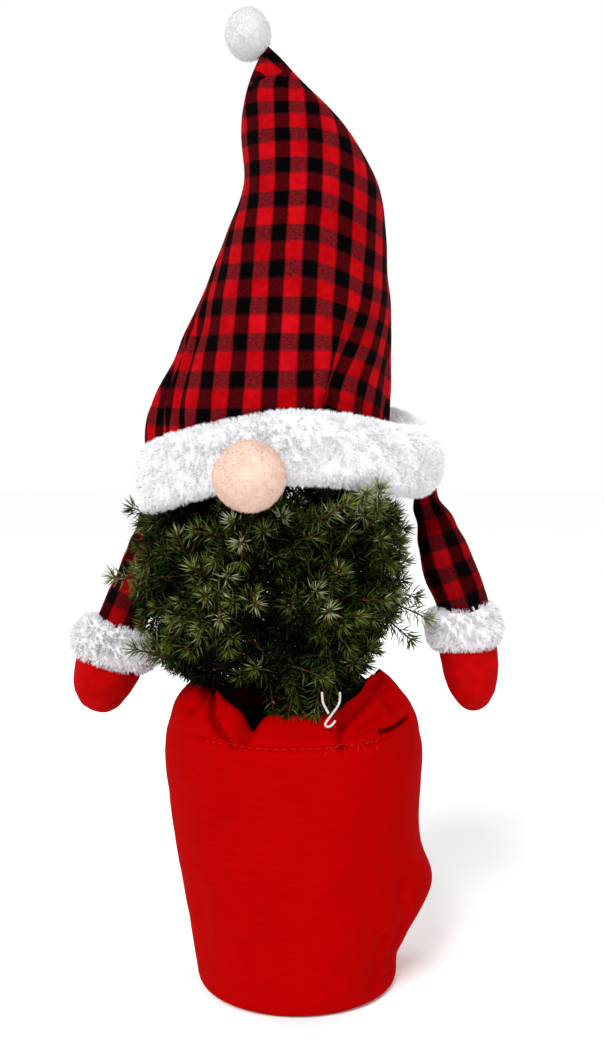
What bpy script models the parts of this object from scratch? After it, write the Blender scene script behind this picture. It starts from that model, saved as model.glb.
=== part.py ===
"""Potted dwarf spruce dressed as a Christmas gnome, in metres, +Z up.

The plant stands in a nursery pot inside a red cloth pot cover. A check-cloth hat with a fur
brim, a round nose and a pompom sits on its crown, and two stuffed arms hang from the brim.
The origin is the middle of the cover's flat underside, +X is to the right as seen from the
front, and the front faces -Y.
"""

import math
import random

import bmesh
import bpy
from mathutils import Matrix, Vector
from mathutils.bvhtree import BVHTree

SEED = 7
GAP = 0.0003
WELD = 0.00001
SHARP_EDGE = 60.0

# Nursery pot, 165 mm across its rim and 178 mm tall, and the potting mix in it
POT_RIM_RADIUS = 0.0825
POT_TOP_RADIUS = 0.0790
POT_BASE_RADIUS = 0.0600
POT_HEIGHT = 0.178
POT_RIM_HEIGHT = 0.012
POT_WALL = 0.0018
POT_SEGMENTS = 24
SOIL_TOP = 0.161

# Cloth pot cover: radius and height from its floor's edge, up over the pot's rim, to its hem
COVER_WALL = 0.0020
COVER_SEGMENTS = 26
COVER_PROFILE = (
    (0.0670, 0.0000),
    (0.0712, 0.0055),
    (0.0728, 0.0160),
    (0.0766, 0.0420),
    (0.0812, 0.0720),
    (0.0866, 0.1080),
    (0.0904, 0.1400),
    (0.0921, 0.1660),
    (0.0908, 0.1840),
    (0.0842, 0.1970),
    (0.0748, 0.2055),
    (0.0665, 0.2065),
    (0.0625, 0.2010),
)
# Where the cloth is gathered over the rim it folds, and stands higher at the sides than in front
COVER_FOLD_START = 0.170
COVER_FOLD_DEPTH = 0.0030
COVER_FOLDS = 7
COVER_FOLD_PHASE = 0.6
COVER_SIDE_RISE = 0.0060
# The cover leans a little: how far its middle is to the right at the floor and at its top
COVER_SHIFT_AT_FLOOR = 0.0018
COVER_SHIFT_AT_TOP = -0.0014
# The loose bag of cloth low on the right: how far it stands out, and its place and size
LOOSE_DEPTH = 0.0180
LOOSE_HEIGHT = 0.061
LOOSE_TALL = 0.030
LOOSE_WIDE = math.radians(36)

# Trunk: foot on the potting mix, tip inside the hat
TRUNK_FOOT = Vector((0.003, 0.000, SOIL_TOP + GAP))
TRUNK_TIP = Vector((-0.010, 0.000, 0.452))
TRUNK_SWAY_LEFT = 0.0080
TRUNK_SWAY_BACK = 0.0024
TRUNK_FOOT_RADIUS = 0.0068
TRUNK_TIP_RADIUS = 0.0024
ROOT_FLARE = 0.0042
ROOT_FLARE_HEIGHT = 0.0064
TRUNK_POINTS = 12
TRUNK_POINT_CROWDING = 1.35
TRUNK_RESOLUTION = 3

# Crown: height, left edge and right edge as seen from the front, under the brim and in the hat
CROWN_OUTLINE = (
    (0.195, -0.052, 0.034),
    (0.207, -0.067, 0.048),
    (0.224, -0.093, 0.060),
    (0.245, -0.115, 0.068),
    (0.272, -0.121, 0.084),
    (0.300, -0.119, 0.089),
    (0.328, -0.115, 0.088),
    (0.340, -0.106, 0.076),
    (0.344, -0.091, 0.058),
    (0.400, -0.088, 0.056),
    (0.470, -0.064, 0.050),
    (0.530, -0.036, 0.044),
    (0.566, -0.015, 0.025),
)
# Tiers of masses: name, count, height, distance from the middle, bearing of the first in
# degrees, whether a bough carries each mass, and how many twigs stand out of each
TIERS = (
    ("lower", 5, 0.2340, 0.0480, -90.0, True, 10),
    ("middle", 6, 0.2810, 0.0610, -62.0, True, 11),
    ("upper", 5, 0.3240, 0.0590, -96.0, False, 10),
    ("hat", 3, 0.3930, 0.0330, -60.0, False, 2),
)
TOP_MIDDLE = Vector((0.004, 0.0, 0.5050))
TOP_TWIGS = 2
CORE_REACH = 0.042
CORE_SHARE = 0.78
CORE_ROUGHNESS = 0.86
CORE_DETAIL = 2
HIDDEN_CORE_REACH = 0.030
HIDDEN_CORE_DETAIL = 1
CELL_MARGIN = 0.0010
CLEARANCE = 0.0009
CLEARANCE_TESTS = 9
LIMB_RISE = math.radians(24)
BOUGH_ROOT_RADIUS = 0.0026
BOUGH_TIP_RADIUS = 0.0019
BOUGH_SAG_SHARE = 0.06
BOUGH_SHARE = 0.42
BOUGH_POINTS = 5
STEM_RADIUS = 0.0018
STEM_TAPER = 0.8
GOLDEN_ANGLE = math.pi * (3 - math.sqrt(5))
LEAST_OUTWARD = -0.15
MOST_OUTWARD = 0.93
TWIG_ROOT_RADIUS = 0.0013
TWIG_TIP_RADIUS = 0.0007
TWIG_ROOT_SHARE = 0.6
LEAST_TWIG = 0.0015
TIP_NEEDLES = 4
NEEDLE_LENGTH = 0.0160
NEEDLE_RADIUS = 0.0009
NEEDLE_LEAN = math.radians(50)
NEEDLE_VARIATION = (0.8, 1.1)
NEEDLE_SINK = 0.0012
SEARCH_STEP = 0.0012
HAT_TOUCH = 0.0004
HAT_TWIG_RISES = (0.8, 1.5)
TOP_TWIG_RISE = 0.1

# Fur brim: the ellipses of its inner and outer edge, and its height, higher at the back and
# front than at the sides, and lower on the left
RING_SEGMENTS = 28
BRIM_INNER_X = -0.0165
BRIM_INNER_RADIUS = 0.0780
BRIM_OUTER_X = -0.0050
BRIM_OUTER_RADIUS = 0.1075
BRIM_OUTER_DEPTH = 0.1040
BRIM_HALF_HEIGHT = 0.0225
BRIM_MIDDLE = 0.3759
BRIM_TILT = 0.0058
BRIM_BACK_RISE = 0.0060
BRIM_SADDLE = 0.0111
BRIM_SQUARENESS = 3.0
BRIM_SECTION_SIDES = 10

# Check-cloth hat: left and right edge of each ring as seen from the front, as X and Z
HAT_WALL = 0.0020
HAT_RINGS = 12
HAT_SEAT_FADE = 0.070
HAT_STATIONS = (
    (-0.0998, 0.384, 0.0668, 0.395),
    (-0.0960, 0.409, 0.0672, 0.414),
    (-0.0778, 0.449, 0.0672, 0.450),
    (-0.0622, 0.490, 0.0665, 0.489),
    (-0.0470, 0.529, 0.0642, 0.527),
    (-0.0354, 0.562, 0.0580, 0.564),
    (-0.0362, 0.597, 0.0340, 0.602),
    (-0.0332, 0.618, 0.0075, 0.628),
    (-0.0264, 0.636, -0.0095, 0.6445),
    (-0.0226, 0.6455, -0.0176, 0.6500),
)
HAT_TIP_DEPTH_SHARE = 0.78

# Pompom and nose
POMPOM_RADIUS = 0.0168
POMPOM_TALL = 1.07
NOSE_CENTRE = Vector((-0.0277, -0.1190, 0.3640))
NOSE_RADIUS = 0.0226
NOSE_DEPTH_SHARE = 0.92
BALL_SEGMENTS = 16
BALL_RINGS = 9

# Stuffed arms: sleeve radii at shoulder, elbow and wrist, and the route of each arm; the
# shoulder's height comes from the brim
SLEEVE_RADII = ((0.0118,), (0.0186,), (0.0175,))
SHOULDER_RINGS = 12
SHOULDER_FEELERS = 60
SHOULDER_REACH = 1.10
SLEEVE_POINTS = 7
SLEEVE_RESOLUTION = 4
CUFF_HALF_HEIGHT = 0.0160
CUFF_SINK = 0.0022
CUFF_SECTION = 8
CUFF_SQUARENESS = 2.6
CUFF_ROUNDING = 0.7
MITTEN_RINGS = 7
MITTEN_WRIST_SHARE = 0.93
MITTEN_BLUNTNESS = 0.62
LIMB_SIDES = 16
LIMB_FLATNESS = 0.82
ARMS = {
    "right": {
        "shoulder": Vector((0.0925, -0.0020, 0.3450)),
        "elbow": Vector((0.1045, -0.0035, 0.3080)),
        "wrist": Vector((0.1150, -0.0050, 0.2715)),
        "fingers": Vector((0.1255, -0.0070, 0.1965)),
        "cuff_radius": 0.0258,
        "mitten_radius": 0.0205,
    },
    "left": {
        "shoulder": Vector((-0.1000, 0.0220, 0.3350)),
        "elbow": Vector((-0.1060, 0.0300, 0.3030)),
        "wrist": Vector((-0.1235, 0.0260, 0.2600)),
        "fingers": Vector((-0.1480, 0.0210, 0.1875)),
        "cuff_radius": 0.0305,
        "mitten_radius": 0.0228,
    },
}

# Colour and roughness of each material; nothing here is metal
FINISHES = {
    "pot_plastic": ((0.020, 0.020, 0.022), 0.55),
    "potting_mix": ((0.045, 0.028, 0.018), 0.95),
    "red_cover": ((0.560, 0.004, 0.006), 0.80),
    "bark": ((0.130, 0.078, 0.045), 0.90),
    "spruce_green": ((0.050, 0.105, 0.028), 0.60),
    "check_cloth": ((0.330, 0.008, 0.012), 0.85),
    "white_fur": ((0.880, 0.880, 0.900), 0.95),
    "peach_felt": ((0.800, 0.530, 0.400), 0.95),
    "red_fleece": ((0.560, 0.004, 0.006), 0.90),
}


def clear_scene():
    for obj in list(bpy.data.objects):
        bpy.data.objects.remove(obj, do_unlink=True)


def new_collection(name):
    collection = bpy.data.collections.new(name)
    bpy.context.scene.collection.children.link(collection)
    return collection


def make_materials():
    made = {}
    for name, (colour, roughness) in FINISHES.items():
        material = bpy.data.materials.new(name)
        material.use_nodes = True
        shader = material.node_tree.nodes["Principled BSDF"]
        shader.inputs["Base Color"].default_value = (*colour, 1.0)
        shader.inputs["Roughness"].default_value = roughness
        shader.inputs["Metallic"].default_value = 0.0
        made[name] = material
    return made


def add_object(name, data, collection, material=None):
    obj = bpy.data.objects.new(name, data)
    collection.objects.link(obj)
    if material is not None:
        data.materials.append(material)
    return obj


def mesh_from(bm, name, sharp_degrees=180.0):
    """The bmesh as a smooth-shaded mesh whose edges above this angle stay sharp."""
    mesh = bpy.data.meshes.new(name)
    bm.to_mesh(mesh)
    bm.free()
    mesh.shade_smooth()
    mesh.set_sharp_from_angle(angle=math.radians(sharp_degrees))
    return mesh


def evaluated_mesh(obj):
    """A new mesh of the object as it is seen, with its modifiers and curve bevels."""
    bpy.context.view_layer.update()
    graph = bpy.context.evaluated_depsgraph_get()
    return bpy.data.meshes.new_from_object(obj.evaluated_get(graph))


def tree_of(objects):
    """One search tree of the surfaces of all these objects, in world space."""
    points, faces = [], []
    for obj in objects:
        mesh = evaluated_mesh(obj)
        first = len(points)
        points += [obj.matrix_world @ v.co for v in mesh.vertices]
        faces += [[first + i for i in p.vertices] for p in mesh.polygons]
        bpy.data.meshes.remove(mesh)
    return BVHTree.FromPolygons(points, faces)


def catmull_rom(rows, share):
    """The row at this share, 0 to 1, of a smooth curve through the rows."""
    place = share * (len(rows) - 1)
    i = min(int(place), len(rows) - 2)
    t = place - i
    quads = zip(rows[max(i - 1, 0)], rows[i], rows[i + 1], rows[min(i + 2, len(rows) - 1)])
    return tuple(
        b + 0.5 * t * (c - a + t * (2 * a - 5 * b + 4 * c - d + t * (3 * b - a - 3 * c + d)))
        for a, b, c, d in quads
    )


def interpolate(rows, x):
    """The other values at x, by straight lines through rows of (x, value, value)."""
    for low, high in zip(rows, rows[1:]):
        if x <= high[0]:
            t = max(0.0, (x - low[0]) / (high[0] - low[0]))
            return [a + (b - a) * t for a, b in zip(low[1:], high[1:])]
    return rows[-1][1:]


def bearings(count, start=0.0):
    return [start + 2 * math.pi * i / count for i in range(count)]


def loft(bm, rings, closed=False):
    """Quads between rings of equally many points. Returns the rings as vertices."""
    made = [[bm.verts.new(point) for point in ring] for ring in rings]
    pairs = list(zip(made, made[1:])) + ([(made[-1], made[0])] if closed else [])
    for low, high in pairs:
        for i in range(len(low)):
            j = (i + 1) % len(low)
            bm.faces.new((low[i], low[j], high[j], high[i]))
    return made


def solidify(obj, thickness):
    """Thickens an open surface inwards, away from its normals."""
    shell = obj.modifiers.new("wall", "SOLIDIFY")
    shell.thickness = thickness
    shell.offset = -1.0
    shell.use_even_offset = True


def turned(name, profile, segments, collection, material):
    """A solid of revolution about Z, from a profile of radius and height down its outer side."""
    mesh = bpy.data.meshes.new(name)
    points = [(radius, 0.0, height) for radius, height in profile]
    mesh.from_pydata(points, [(i, i + 1) for i in range(len(points) - 1)], [])
    obj = add_object(name, mesh, collection, material)
    screw = obj.modifiers.new("turn", "SCREW")
    screw.steps = screw.render_steps = segments
    screw.use_merge_vertices = True
    screw.merge_threshold = WELD
    screw.use_smooth_shade = True
    return obj


def tube(name, points, radii, resolution, collection, material):
    """A tapering limb with a round section and filled ends."""
    curve = bpy.data.curves.new(name, "CURVE")
    curve.dimensions = "3D"
    curve.bevel_depth = 1.0
    curve.bevel_resolution = resolution
    curve.use_fill_caps = True
    spline = curve.splines.new("POLY")
    spline.points.add(len(points) - 1)
    for knot, point, radius in zip(spline.points, points, radii):
        knot.co = (*point, 1.0)
        knot.radius = radius
    return add_object(name, curve, collection, material)


def superellipse(angle, power):
    c, s = math.cos(angle), math.sin(angle)
    return math.copysign(abs(c) ** (2 / power), c), math.copysign(abs(s) ** (2 / power), s)


# Pot and potting mix
def make_pot(collection, material):
    slope = (POT_TOP_RADIUS - POT_BASE_RADIUS) / POT_HEIGHT
    rim_foot = POT_HEIGHT - POT_RIM_HEIGHT
    profile = (
        (0.0, POT_WALL),
        (POT_BASE_RADIUS - POT_WALL, POT_WALL),
        (POT_TOP_RADIUS - POT_WALL, POT_HEIGHT),
        (POT_RIM_RADIUS, POT_HEIGHT),
        (POT_RIM_RADIUS, rim_foot),
        (POT_BASE_RADIUS + slope * rim_foot, rim_foot),
        (POT_BASE_RADIUS, 0.0),
        (0.0, 0.0),
    )
    pot = turned("pot", profile, POT_SEGMENTS, collection, material)
    pot.location.z = COVER_WALL + GAP
    return pot


def make_potting_mix(collection, material):
    floor = COVER_WALL + GAP + POT_WALL + GAP
    slope = (POT_TOP_RADIUS - POT_BASE_RADIUS) / POT_HEIGHT
    floor_radius = POT_BASE_RADIUS - POT_WALL - 3 * GAP
    top_radius = floor_radius + slope * (SOIL_TOP - floor)
    profile = ((0.0, SOIL_TOP), (top_radius, SOIL_TOP), (floor_radius, floor), (0.0, floor))
    return turned("potting_mix", profile, POT_SEGMENTS, collection, material)


# Cloth pot cover
def cover_point(radius, height, bearing):
    gathered = (height - COVER_FOLD_START) / (COVER_PROFILE[-2][1] - COVER_FOLD_START)
    gathered = min(max(gathered, 0.0), 1.0)
    fold = COVER_FOLD_DEPTH * gathered * math.cos(COVER_FOLDS * bearing + COVER_FOLD_PHASE)
    rise = COVER_SIDE_RISE * gathered * math.cos(2 * bearing)
    up = (height - LOOSE_HEIGHT) / LOOSE_TALL
    aside = math.remainder(bearing, 2 * math.pi) / LOOSE_WIDE
    out = radius + fold + LOOSE_DEPTH * math.exp(-(up**2) - aside**2)
    up_share = height / COVER_PROFILE[-2][1]
    shift = COVER_SHIFT_AT_FLOOR + (COVER_SHIFT_AT_TOP - COVER_SHIFT_AT_FLOOR) * up_share
    return Vector((shift + out * math.cos(bearing), out * math.sin(bearing), height + rise))


def make_cover(collection, material):
    bm = bmesh.new()
    around = bearings(COVER_SEGMENTS)
    rings = loft(bm, [[cover_point(r, z, a) for a in around] for r, z in COVER_PROFILE])
    for vert in rings[0]:
        vert.co.z = 0.0
    bm.faces.new(list(reversed(rings[0])))
    cover = add_object("pot_cover", mesh_from(bm, "pot_cover", SHARP_EDGE), collection, material)
    solidify(cover, COVER_WALL)
    return cover


# Trunk and boughs
def trunk_point(share):
    left = TRUNK_SWAY_LEFT * math.sin(math.pi * share)
    back = TRUNK_SWAY_BACK * math.sin(2 * math.pi * share)
    return TRUNK_FOOT.lerp(TRUNK_TIP, share) + Vector((-left, back, 0.0))


def trunk_radius(share):
    height = share * (TRUNK_TIP.z - TRUNK_FOOT.z)
    taper = TRUNK_FOOT_RADIUS + (TRUNK_TIP_RADIUS - TRUNK_FOOT_RADIUS) * share
    return taper + ROOT_FLARE * math.exp(-height / ROOT_FLARE_HEIGHT)


def make_trunk(collection, material):
    """The first stretch stands upright, so that the cut on the potting mix is flat."""
    shares = [(i / (TRUNK_POINTS - 1)) ** TRUNK_POINT_CROWDING for i in range(TRUNK_POINTS)]
    points = [trunk_point(s) for s in shares]
    points[1].xy = points[0].xy
    radii = [trunk_radius(s) for s in shares]
    return tube("trunk", points, radii, TRUNK_RESOLUTION, collection, material)


def limb_start(height, towards, radius, trunk_tree):
    """Where a limb's flat end stands, its edge just clear of the bark."""
    heart = trunk_point((height - TRUNK_FOOT.z) / (TRUNK_TIP.z - TRUNK_FOOT.z))
    way = (towards - heart).normalized()
    side = way.orthogonal().normalized() * radius
    rim = [towards + Matrix.Rotation(a, 3, way) @ side for a in bearings(LIMB_SIDES)]
    hits = [trunk_tree.ray_cast(point, -way)[3] for point in rim]
    return towards - way * (min(hit for hit in hits if hit is not None) - GAP)


def make_bough(name, start, end, collection, material):
    shares = [i / (BOUGH_POINTS - 1) for i in range(BOUGH_POINTS)]
    sag = BOUGH_SAG_SHARE * (end - start).length
    sags = [Vector((0.0, 0.0, -sag * (4 * s * (1 - s)) ** 2)) for s in shares]
    points = [start.lerp(end, s) + drop for s, drop in zip(shares, sags)]
    radii = [BOUGH_ROOT_RADIUS + (BOUGH_TIP_RADIUS - BOUGH_ROOT_RADIUS) * s for s in shares]
    return tube(name, points, radii, 1, collection, material)


# Foliage masses
class Mass:
    """One mass of foliage. Its stem starts at a bough's tip or at the trunk."""

    def __init__(self, name, middle, outward, twigs, hidden):
        self.name = name
        self.middle = middle
        self.outward = outward
        self.twigs = twigs
        self.hidden = hidden
        self.stem_start = None


def crown_section(height):
    """Middle X and radius of the crown at a height."""
    left, right = interpolate(CROWN_OUTLINE, height)
    return (left + right) / 2, (right - left) / 2


def plan_masses():
    masses = []
    for tier, count, height, reach, first, _, twigs in TIERS:
        middle_x = crown_section(height)[0]
        for i, bearing in enumerate(bearings(count, math.radians(first))):
            outward = Vector((math.cos(bearing), math.sin(bearing), 0.0))
            middle = Vector((middle_x, 0.0, height)) + outward * reach
            masses.append(Mass(f"foliage_{tier}_{i + 1}", middle, outward, twigs, tier == "hat"))
    masses.append(Mass("foliage_top", TOP_MIDDLE, Vector((0.0, 0.0, 1.0)), TOP_TWIGS, True))
    return masses


def attach(masses, trunk, collection, material):
    """Makes the boughs, and finds where each mass's stem starts."""
    on_bough = {tier: has for tier, _, _, _, _, has, _ in TIERS}
    trunk_tree = tree_of([trunk])
    boughs = []
    for mass in masses[:-1]:
        heart = trunk_point((mass.middle.z - TRUNK_FOOT.z) / (TRUNK_TIP.z - TRUNK_FOOT.z))
        away = (mass.middle.xy - heart.xy).length
        root_height = mass.middle.z - away * math.tan(LIMB_RISE)
        has_bough = on_bough[mass.name.split("_")[1]]
        radius = BOUGH_ROOT_RADIUS if has_bough else STEM_RADIUS
        start = limb_start(root_height, mass.middle, radius, trunk_tree)
        mass.stem_start = start
        if has_bough:
            end = start.lerp(mass.middle, BOUGH_SHARE)
            name = mass.name.replace("foliage", "bough")
            boughs.append(make_bough(name, start, end, collection, material))
            mass.stem_start = end + (mass.middle - end).normalized() * GAP
    masses[-1].stem_start = TRUNK_TIP + Vector((0.0, 0.0, GAP))
    return boughs


class Space:
    """What a mass may fill: its own cell of the crown, clear of limbs and of the made things."""

    def __init__(self, masses, solids):
        self.middles = [mass.middle for mass in masses]
        self.solids = solids

    def holds(self, point, own):
        """True if the point is in the crown and in the mass's own cell."""
        if not CROWN_OUTLINE[0][0] < point.z < CROWN_OUTLINE[-1][0]:
            return False
        middle_x, radius = crown_section(point.z)
        if math.hypot(point.x - middle_x, point.y) > radius:
            return False
        mine = self.middles[own]
        near = (point - mine).length_squared
        for i, other in enumerate(self.middles):
            border = 2 * CELL_MARGIN * (other - mine).length
            if i != own and (point - other).length_squared - near < border:
                return False
        return True

    def clear(self, start, end, radius):
        """True if a twig or needle from start to end stays off every limb and made thing."""
        way = end - start
        if self.solids.ray_cast(start, way.normalized(), way.length)[0] is not None:
            return False
        for i in range(CLEARANCE_TESTS):
            point = start.lerp(end, i / (CLEARANCE_TESTS - 1))
            if self.solids.find_nearest(point, radius + CLEARANCE)[0] is not None:
                return False
        return True

    def reach(self, own, way, most):
        """How far the mass's space runs from its middle along a direction."""
        start, length = self.middles[own], 0.0
        while length < most:
            point = start + way * (length + SEARCH_STEP)
            if not self.holds(point, own) or self.solids.find_nearest(point, CLEARANCE * 2)[0] is not None:
                break
            length += SEARCH_STEP
        return length


def spike(name, start, end, start_radius, end_radius, collection):
    """A three-sided tapering spike from start to end."""
    way = end - start
    place = Matrix.Translation((start + end) / 2) @ way.to_track_quat("Z", "Y").to_matrix().to_4x4()
    bm = bmesh.new()
    bmesh.ops.create_cone(
        bm,
        cap_ends=True,
        segments=3,
        radius1=start_radius,
        radius2=end_radius,
        depth=way.length,
        matrix=place,
    )
    return add_object(name, mesh_from(bm, name, 0.0), collection)


def make_core(mass, own, space, rng, collection):
    """The dense middle of a mass: a rough ball that fills most of its cell, off its own limb."""
    most = HIDDEN_CORE_REACH if mass.hidden else CORE_REACH
    detail = HIDDEN_CORE_DETAIL if mass.hidden else CORE_DETAIL
    inward = mass.stem_start - mass.middle
    depth = inward.length - 2 * CLEARANCE
    inward.normalize()
    bm = bmesh.new()
    bmesh.ops.create_icosphere(bm, subdivisions=detail, radius=1.0)
    for vert in bm.verts:
        way = vert.co.normalized()
        reach = space.reach(own, way, most) * CORE_SHARE
        if way.dot(inward) > 0:
            reach = min(reach, depth / way.dot(inward))
        vert.co = mass.middle + way * reach * rng.uniform(CORE_ROUGHNESS, 1.0)
    return add_object(mass.name, mesh_from(bm, mass.name, 0.0), collection)


def spread(count, outward, rng):
    """Evenly spread directions on the side of the sphere that faces outwards."""
    turn = rng.uniform(0, 2 * math.pi)
    found = [outward]
    total = 2 * count + 1
    for i in range(total):
        z = 1 - 2 * (i + 0.5) / total
        flat = math.sqrt(1 - z * z)
        around = turn + GOLDEN_ANGLE * i
        way = Vector((flat * math.cos(around), flat * math.sin(around), z))
        if LEAST_OUTWARD < way.dot(outward) < MOST_OUTWARD:
            found.append(way)
    return found


def make_twig(mass, own, way, space, core, rng, collection):
    """A twig that stands out of the core, with a star of needles round its tip."""
    surface = core.ray_cast(mass.middle, way)[3]
    length = space.reach(own, way, 1.0) - NEEDLE_LENGTH * math.cos(NEEDLE_LEAN) / 2
    tip = mass.middle + way * max(length, surface + LEAST_TWIG)
    if not space.holds(tip, own) or not space.clear(mass.middle + way * surface, tip, TWIG_ROOT_RADIUS):
        return False
    root = mass.middle + way * surface * TWIG_ROOT_SHARE
    spike("twig", root, tip, TWIG_ROOT_RADIUS, TWIG_TIP_RADIUS, collection)
    side = way.orthogonal().normalized()
    base = tip - way * NEEDLE_SINK
    for turn in bearings(TIP_NEEDLES, rng.uniform(0, math.pi)):
        lean = NEEDLE_LEAN * rng.uniform(*NEEDLE_VARIATION)
        out = Matrix.Rotation(turn, 3, way) @ side
        needle = way * math.cos(lean) + out * math.sin(lean)
        end = base + needle * NEEDLE_LENGTH * rng.uniform(*NEEDLE_VARIATION)
        if space.holds(end, own) and space.clear(base, end, NEEDLE_RADIUS):
            spike("needle", base, end, NEEDLE_RADIUS, 0.0, collection)
    return True


def lean_on_hat(mass, hat, collection):
    """Twigs whose tips just meet the hat's cloth from inside, so that the crown carries it."""
    if mass.outward.z == 1.0:
        ways = [Vector((-1.0, 0.0, TOP_TWIG_RISE)), Vector((1.0, 0.0, TOP_TWIG_RISE))]
    else:
        ways = [mass.outward + Vector((0.0, 0.0, rise)) for rise in HAT_TWIG_RISES]
    for way in ways:
        way.normalize()
        hit = hat.ray_cast(mass.middle, way)
        tip = mass.middle + way * (hit[3] - HAT_TOUCH - TWIG_TIP_RADIUS)
        spike("twig", mass.middle, tip, TWIG_ROOT_RADIUS, TWIG_TIP_RADIUS, collection)


def largest_body(mesh):
    """Drops the loose scraps that a union may leave."""
    bm = bmesh.new()
    bm.from_mesh(mesh)
    left, bodies = set(bm.verts), []
    while left:
        body, todo = set(), [left.pop()]
        while todo:
            vert = todo.pop()
            body.add(vert)
            others = {edge.other_vert(vert) for edge in vert.link_edges} & left
            left -= others
            todo += others
        bodies.append(body)
    bodies.sort(key=len)
    bmesh.ops.delete(bm, geom=[vert for body in bodies[:-1] for vert in body], context="VERTS")
    bm.to_mesh(mesh)
    bm.free()


def fuse(core, spikes, material):
    """One Boolean union of the core with all its twigs and needles, applied."""
    union = core.modifiers.new("fuse", "BOOLEAN")
    union.operation = "UNION"
    union.operand_type = "COLLECTION"
    union.collection = spikes
    mesh = evaluated_mesh(core)
    core.modifiers.clear()
    largest_body(mesh)
    mesh.materials.clear()
    mesh.materials.append(material)
    core.data = mesh
    for obj in list(spikes.objects):
        bpy.data.objects.remove(obj, do_unlink=True)


def make_crown(collection, scratch, trunk, made_things, hat, finishes):
    rng = random.Random(SEED)
    masses = plan_masses()
    boughs = attach(masses, trunk, collection, finishes["bark"])
    space = Space(masses, tree_of([trunk, *boughs, *made_things, hat]))
    hat_tree = tree_of([hat])
    for own, mass in enumerate(masses):
        core = make_core(mass, own, space, rng, collection)
        spike("stem", mass.stem_start, mass.middle, STEM_RADIUS, STEM_RADIUS * STEM_TAPER, scratch)
        made, surface = 0, tree_of([core])
        for way in spread(mass.twigs, mass.outward, rng):
            if made < mass.twigs and make_twig(mass, own, way, space, surface, rng, scratch):
                made += 1
        if mass.hidden:
            lean_on_hat(mass, hat_tree, scratch)
        fuse(core, scratch, finishes["spruce_green"])


# Fur brim
def brim_section(bearing):
    """Inner edge, outer edge and middle height of the band at a bearing from the inner centre."""
    shift = BRIM_OUTER_X - BRIM_INNER_X
    c, s = math.cos(bearing), math.sin(bearing)
    a = (c / BRIM_OUTER_RADIUS) ** 2 + (s / BRIM_OUTER_DEPTH) ** 2
    b = c * shift / BRIM_OUTER_RADIUS**2
    outer = (b + math.sqrt(b * b - a * ((shift / BRIM_OUTER_RADIUS) ** 2 - 1))) / a
    middle = BRIM_MIDDLE + BRIM_TILT * c + BRIM_BACK_RISE * s - BRIM_SADDLE * math.cos(2 * bearing)
    return BRIM_INNER_RADIUS, outer, middle


def brim_ring(bearing):
    inner, outer, middle = brim_section(bearing)
    ring = []
    for angle in bearings(BRIM_SECTION_SIDES, math.pi / BRIM_SECTION_SIDES):
        across, up = superellipse(angle, BRIM_SQUARENESS)
        r = (inner + outer) / 2 + across * (outer - inner) / 2
        height = middle + up * BRIM_HALF_HEIGHT
        ring.append(Vector((BRIM_INNER_X + r * math.cos(bearing), r * math.sin(bearing), height)))
    return ring


def make_brim(collection, material):
    bm = bmesh.new()
    loft(bm, [brim_ring(bearing) for bearing in bearings(RING_SEGMENTS)], closed=True)
    bmesh.ops.recalc_face_normals(bm, faces=bm.faces)
    return add_object("hat_brim", mesh_from(bm, "hat_brim", SHARP_EDGE), collection, material)


# Check-cloth hat
def hat_ring(share):
    left_x, left_z, right_x, right_z = catmull_rom(HAT_STATIONS, share)
    middle = Vector(((left_x + right_x) / 2, 0.0, (left_z + right_z) / 2))
    half = Vector(((right_x - left_x) / 2, 0.0, (right_z - left_z) / 2))
    depth = half.length * (1 + (HAT_TIP_DEPTH_SHARE - 1) * share)
    across = Vector((0.0, depth, 0.0))
    return [middle + half * math.cos(a) + across * math.sin(a) for a in bearings(RING_SEGMENTS)]


def seat_height(point, tree):
    """Height at which the hat's edge, at this point, just clears the brim under it."""
    inwards = Vector((BRIM_INNER_X - point.x, -point.y, 0.0)).normalized()
    tops = []
    for step in (0.0, HAT_WALL):
        above = point + inwards * step
        above.z = 1.0
        tops.append(tree.ray_cast(above, Vector((0.0, 0.0, -1.0)))[0].z)
    return max(tops) + 2 * GAP


def make_hat(brim, collection, material):
    brim_tree = tree_of([brim])
    bm = bmesh.new()
    rings = [hat_ring(i / (HAT_RINGS - 1)) for i in range(HAT_RINGS)]
    base = [point.z for point in rings[0]]
    lifts = [seat_height(point, brim_tree) - z for point, z in zip(rings[0], base)]
    for ring in rings:
        for point, z, lift in zip(ring, base, lifts):
            point.z += lift * max(0.0, 1 - (point.z - z) / HAT_SEAT_FADE)
    made = loft(bm, rings)
    bm.faces.new(made[-1])
    hat = add_object("hat", mesh_from(bm, "hat", SHARP_EDGE), collection, material)
    solidify(hat, HAT_WALL)
    return hat


# Nose and pompom
def ball(bm, centre, radii):
    place = Matrix.Translation(centre) @ Matrix.Diagonal((*radii, 1.0))
    bmesh.ops.create_uvsphere(bm, u_segments=BALL_SEGMENTS, v_segments=BALL_RINGS, radius=1.0, matrix=place)


def make_nose(brim, collection, material):
    """A stuffed ball whose back is flat where it is sewn to the brim."""
    front = min(v.co.y for v in brim.data.vertices)
    bm = bmesh.new()
    ball(bm, NOSE_CENTRE, (NOSE_RADIUS, NOSE_RADIUS * NOSE_DEPTH_SHARE, NOSE_RADIUS))
    bmesh.ops.bisect_plane(
        bm,
        geom=bm.verts[:] + bm.edges[:] + bm.faces[:],
        plane_co=(0.0, front - GAP, 0.0),
        plane_no=(0.0, 1.0, 0.0),
        clear_outer=True,
    )
    bmesh.ops.holes_fill(bm, edges=bm.edges, sides=0)
    return add_object("nose", mesh_from(bm, "nose", SHARP_EDGE), collection, material)


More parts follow.
